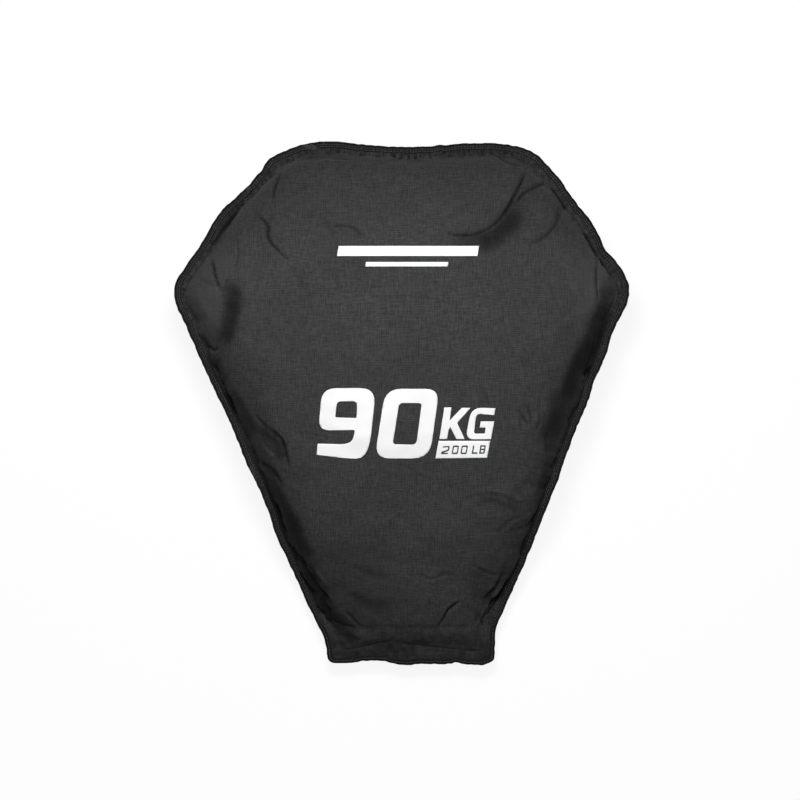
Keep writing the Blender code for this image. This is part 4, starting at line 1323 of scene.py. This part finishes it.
def softCopy(node, name, amount, margin):
    mesh = cadMesh(node)
    bmesh.ops.remove_doubles(mesh, verts=mesh.verts[:], dist=0.00001)
    long = [e for e in mesh.edges if e.calc_length() > 0.016]
    bmesh.ops.subdivide_edges(mesh, edges=long, cuts=2, use_grid_fill=True)
    bmesh.ops.triangulate(mesh, faces=[f for f in mesh.faces if len(f.verts) > 4])
    piece = asObject(mesh, name)
    places = vectorsOf(piece)
    depth = -amount * np.clip(0.5 + noiseAt(places, 45, 61) + 0.5 * noiseAt(places, 110, 62), 0, 1.5)
    putPlaces(piece, keptInside(places + vectorsOf(piece, "normal") * depth[:, None], margin))
    return piece


for node, (name, amount, margin, finish, slot) in inner.items():
    dressed(softCopy(node, name, amount, margin), finish, node, "bag")
print("inner layers made")

# The cuff in the photograph is off the bag's middle, so its strips are moved along with it

strips = {"level": -0.362, "inset": 0.0105}
nearEnd = cuff[cuff[:, 1] < strips["level"]][:, 0]
for node, name, body, finish in (("hook_strip", "hook_closure", "mouth_flap", "hook"),
                                 ("loop_strip", "loop_closure", "bag", "loop")):
    mesh = cadMesh(node)
    acrossNow = [v.co.x for v in mesh.verts]
    for vert in mesh.verts:
        vert.co.x = np.interp(vert.co.x, (min(acrossNow), max(acrossNow)),
                              (nearEnd.min() + strips["inset"], nearEnd.max() - strips["inset"]))
    dressed(asObject(mesh, name), finish, node, body)

# Floor, lamps and world

studio = {
    "keyPower": 56.0,
    "keyPlace": (-0.10, 0.90, 2.20),
    "keySize": 0.6,
    "fillPower": 12.5,
    "fillPlace": (0.3, -1.3, 2.3),
    "fillSize": 2.0,
    "aim": (0, 0.1, 0.05),
    "ambient": 0.07,
    "floorTone": 0.40,  # what lights the bag from below
    "floorSeen": 0.90,  # share of plain white in the floor that the camera sees
    "worldSeen": 0.8,  # tone that the camera sees beyond the floor
}
white = (1, 1, 1, 1)


def lookedAt(nodes):
    # 1 where the camera sees the background, straight, in metal or through glass
    rays = nodes.add("LightPath").node.outputs
    direct = nodes.calc("MAXIMUM", rays["Is Camera Ray"], rays["Is Transmission Ray"])
    return nodes.calc("MAXIMUM", direct, rays["Is Glossy Ray"])


def makeFloor():
    mesh = bmesh.new()
    bmesh.ops.create_grid(mesh, x_segments=2, y_segments=2, size=12)
    bmesh.ops.translate(mesh, verts=mesh.verts[:], vec=(0, 0, -0.0005))
    floor = asObject(mesh, "studio_floor")
    around = Finish("paleFloor", (studio["floorTone"],) * 3, 0.9, 0.0, 0.0)
    seen = around.add("MixShader", studio["floorSeen"], around.add("BsdfDiffuse", (0.95, 0.95, 0.95, 1)),
                      around.add("Emission", white, 1.0))
    shader = around.tree.nodes["Principled BSDF"].outputs[0]
    shown = around.add("MixShader", lookedAt(around), shader, seen)
    around.put(shown, around.tree.nodes["Material Output"].inputs["Surface"])
    floor.data.materials.append(around.material)


def areaLamp(name, place, power, size):
    data = bpy.data.lights.new(name, "AREA")
    data.energy = power
    data.size = size
    lamp = bpy.data.objects.new(name, data)
    lamp.location = place
    lamp.rotation_euler = (Vector(studio["aim"]) - Vector(place)).to_track_quat("-Z", "Y").to_euler()
    scene.collection.objects.link(lamp)


def makeWorld():
    world = bpy.data.worlds.new("paleWorld")
    scene.world = world
    world.use_nodes = True
    nodes = Nodes(world.node_tree)
    light = world.node_tree.nodes["Background"]
    light.inputs["Color"].default_value = white
    light.inputs["Strength"].default_value = studio["ambient"]
    seen = nodes.add("Background", (*[studio["worldSeen"]] * 3, 1), 1.0)
    shown = nodes.add("MixShader", lookedAt(nodes), light.outputs[0], seen)
    nodes.put(shown, world.node_tree.nodes["World Output"].inputs["Surface"])


makeFloor()
areaLamp("keyLamp", studio["keyPlace"], studio["keyPower"], studio["keySize"])
areaLamp("fillLamp", studio["fillPlace"], studio["fillPower"], studio["fillSize"])
makeWorld()
scene.view_settings.view_transform = "Standard"
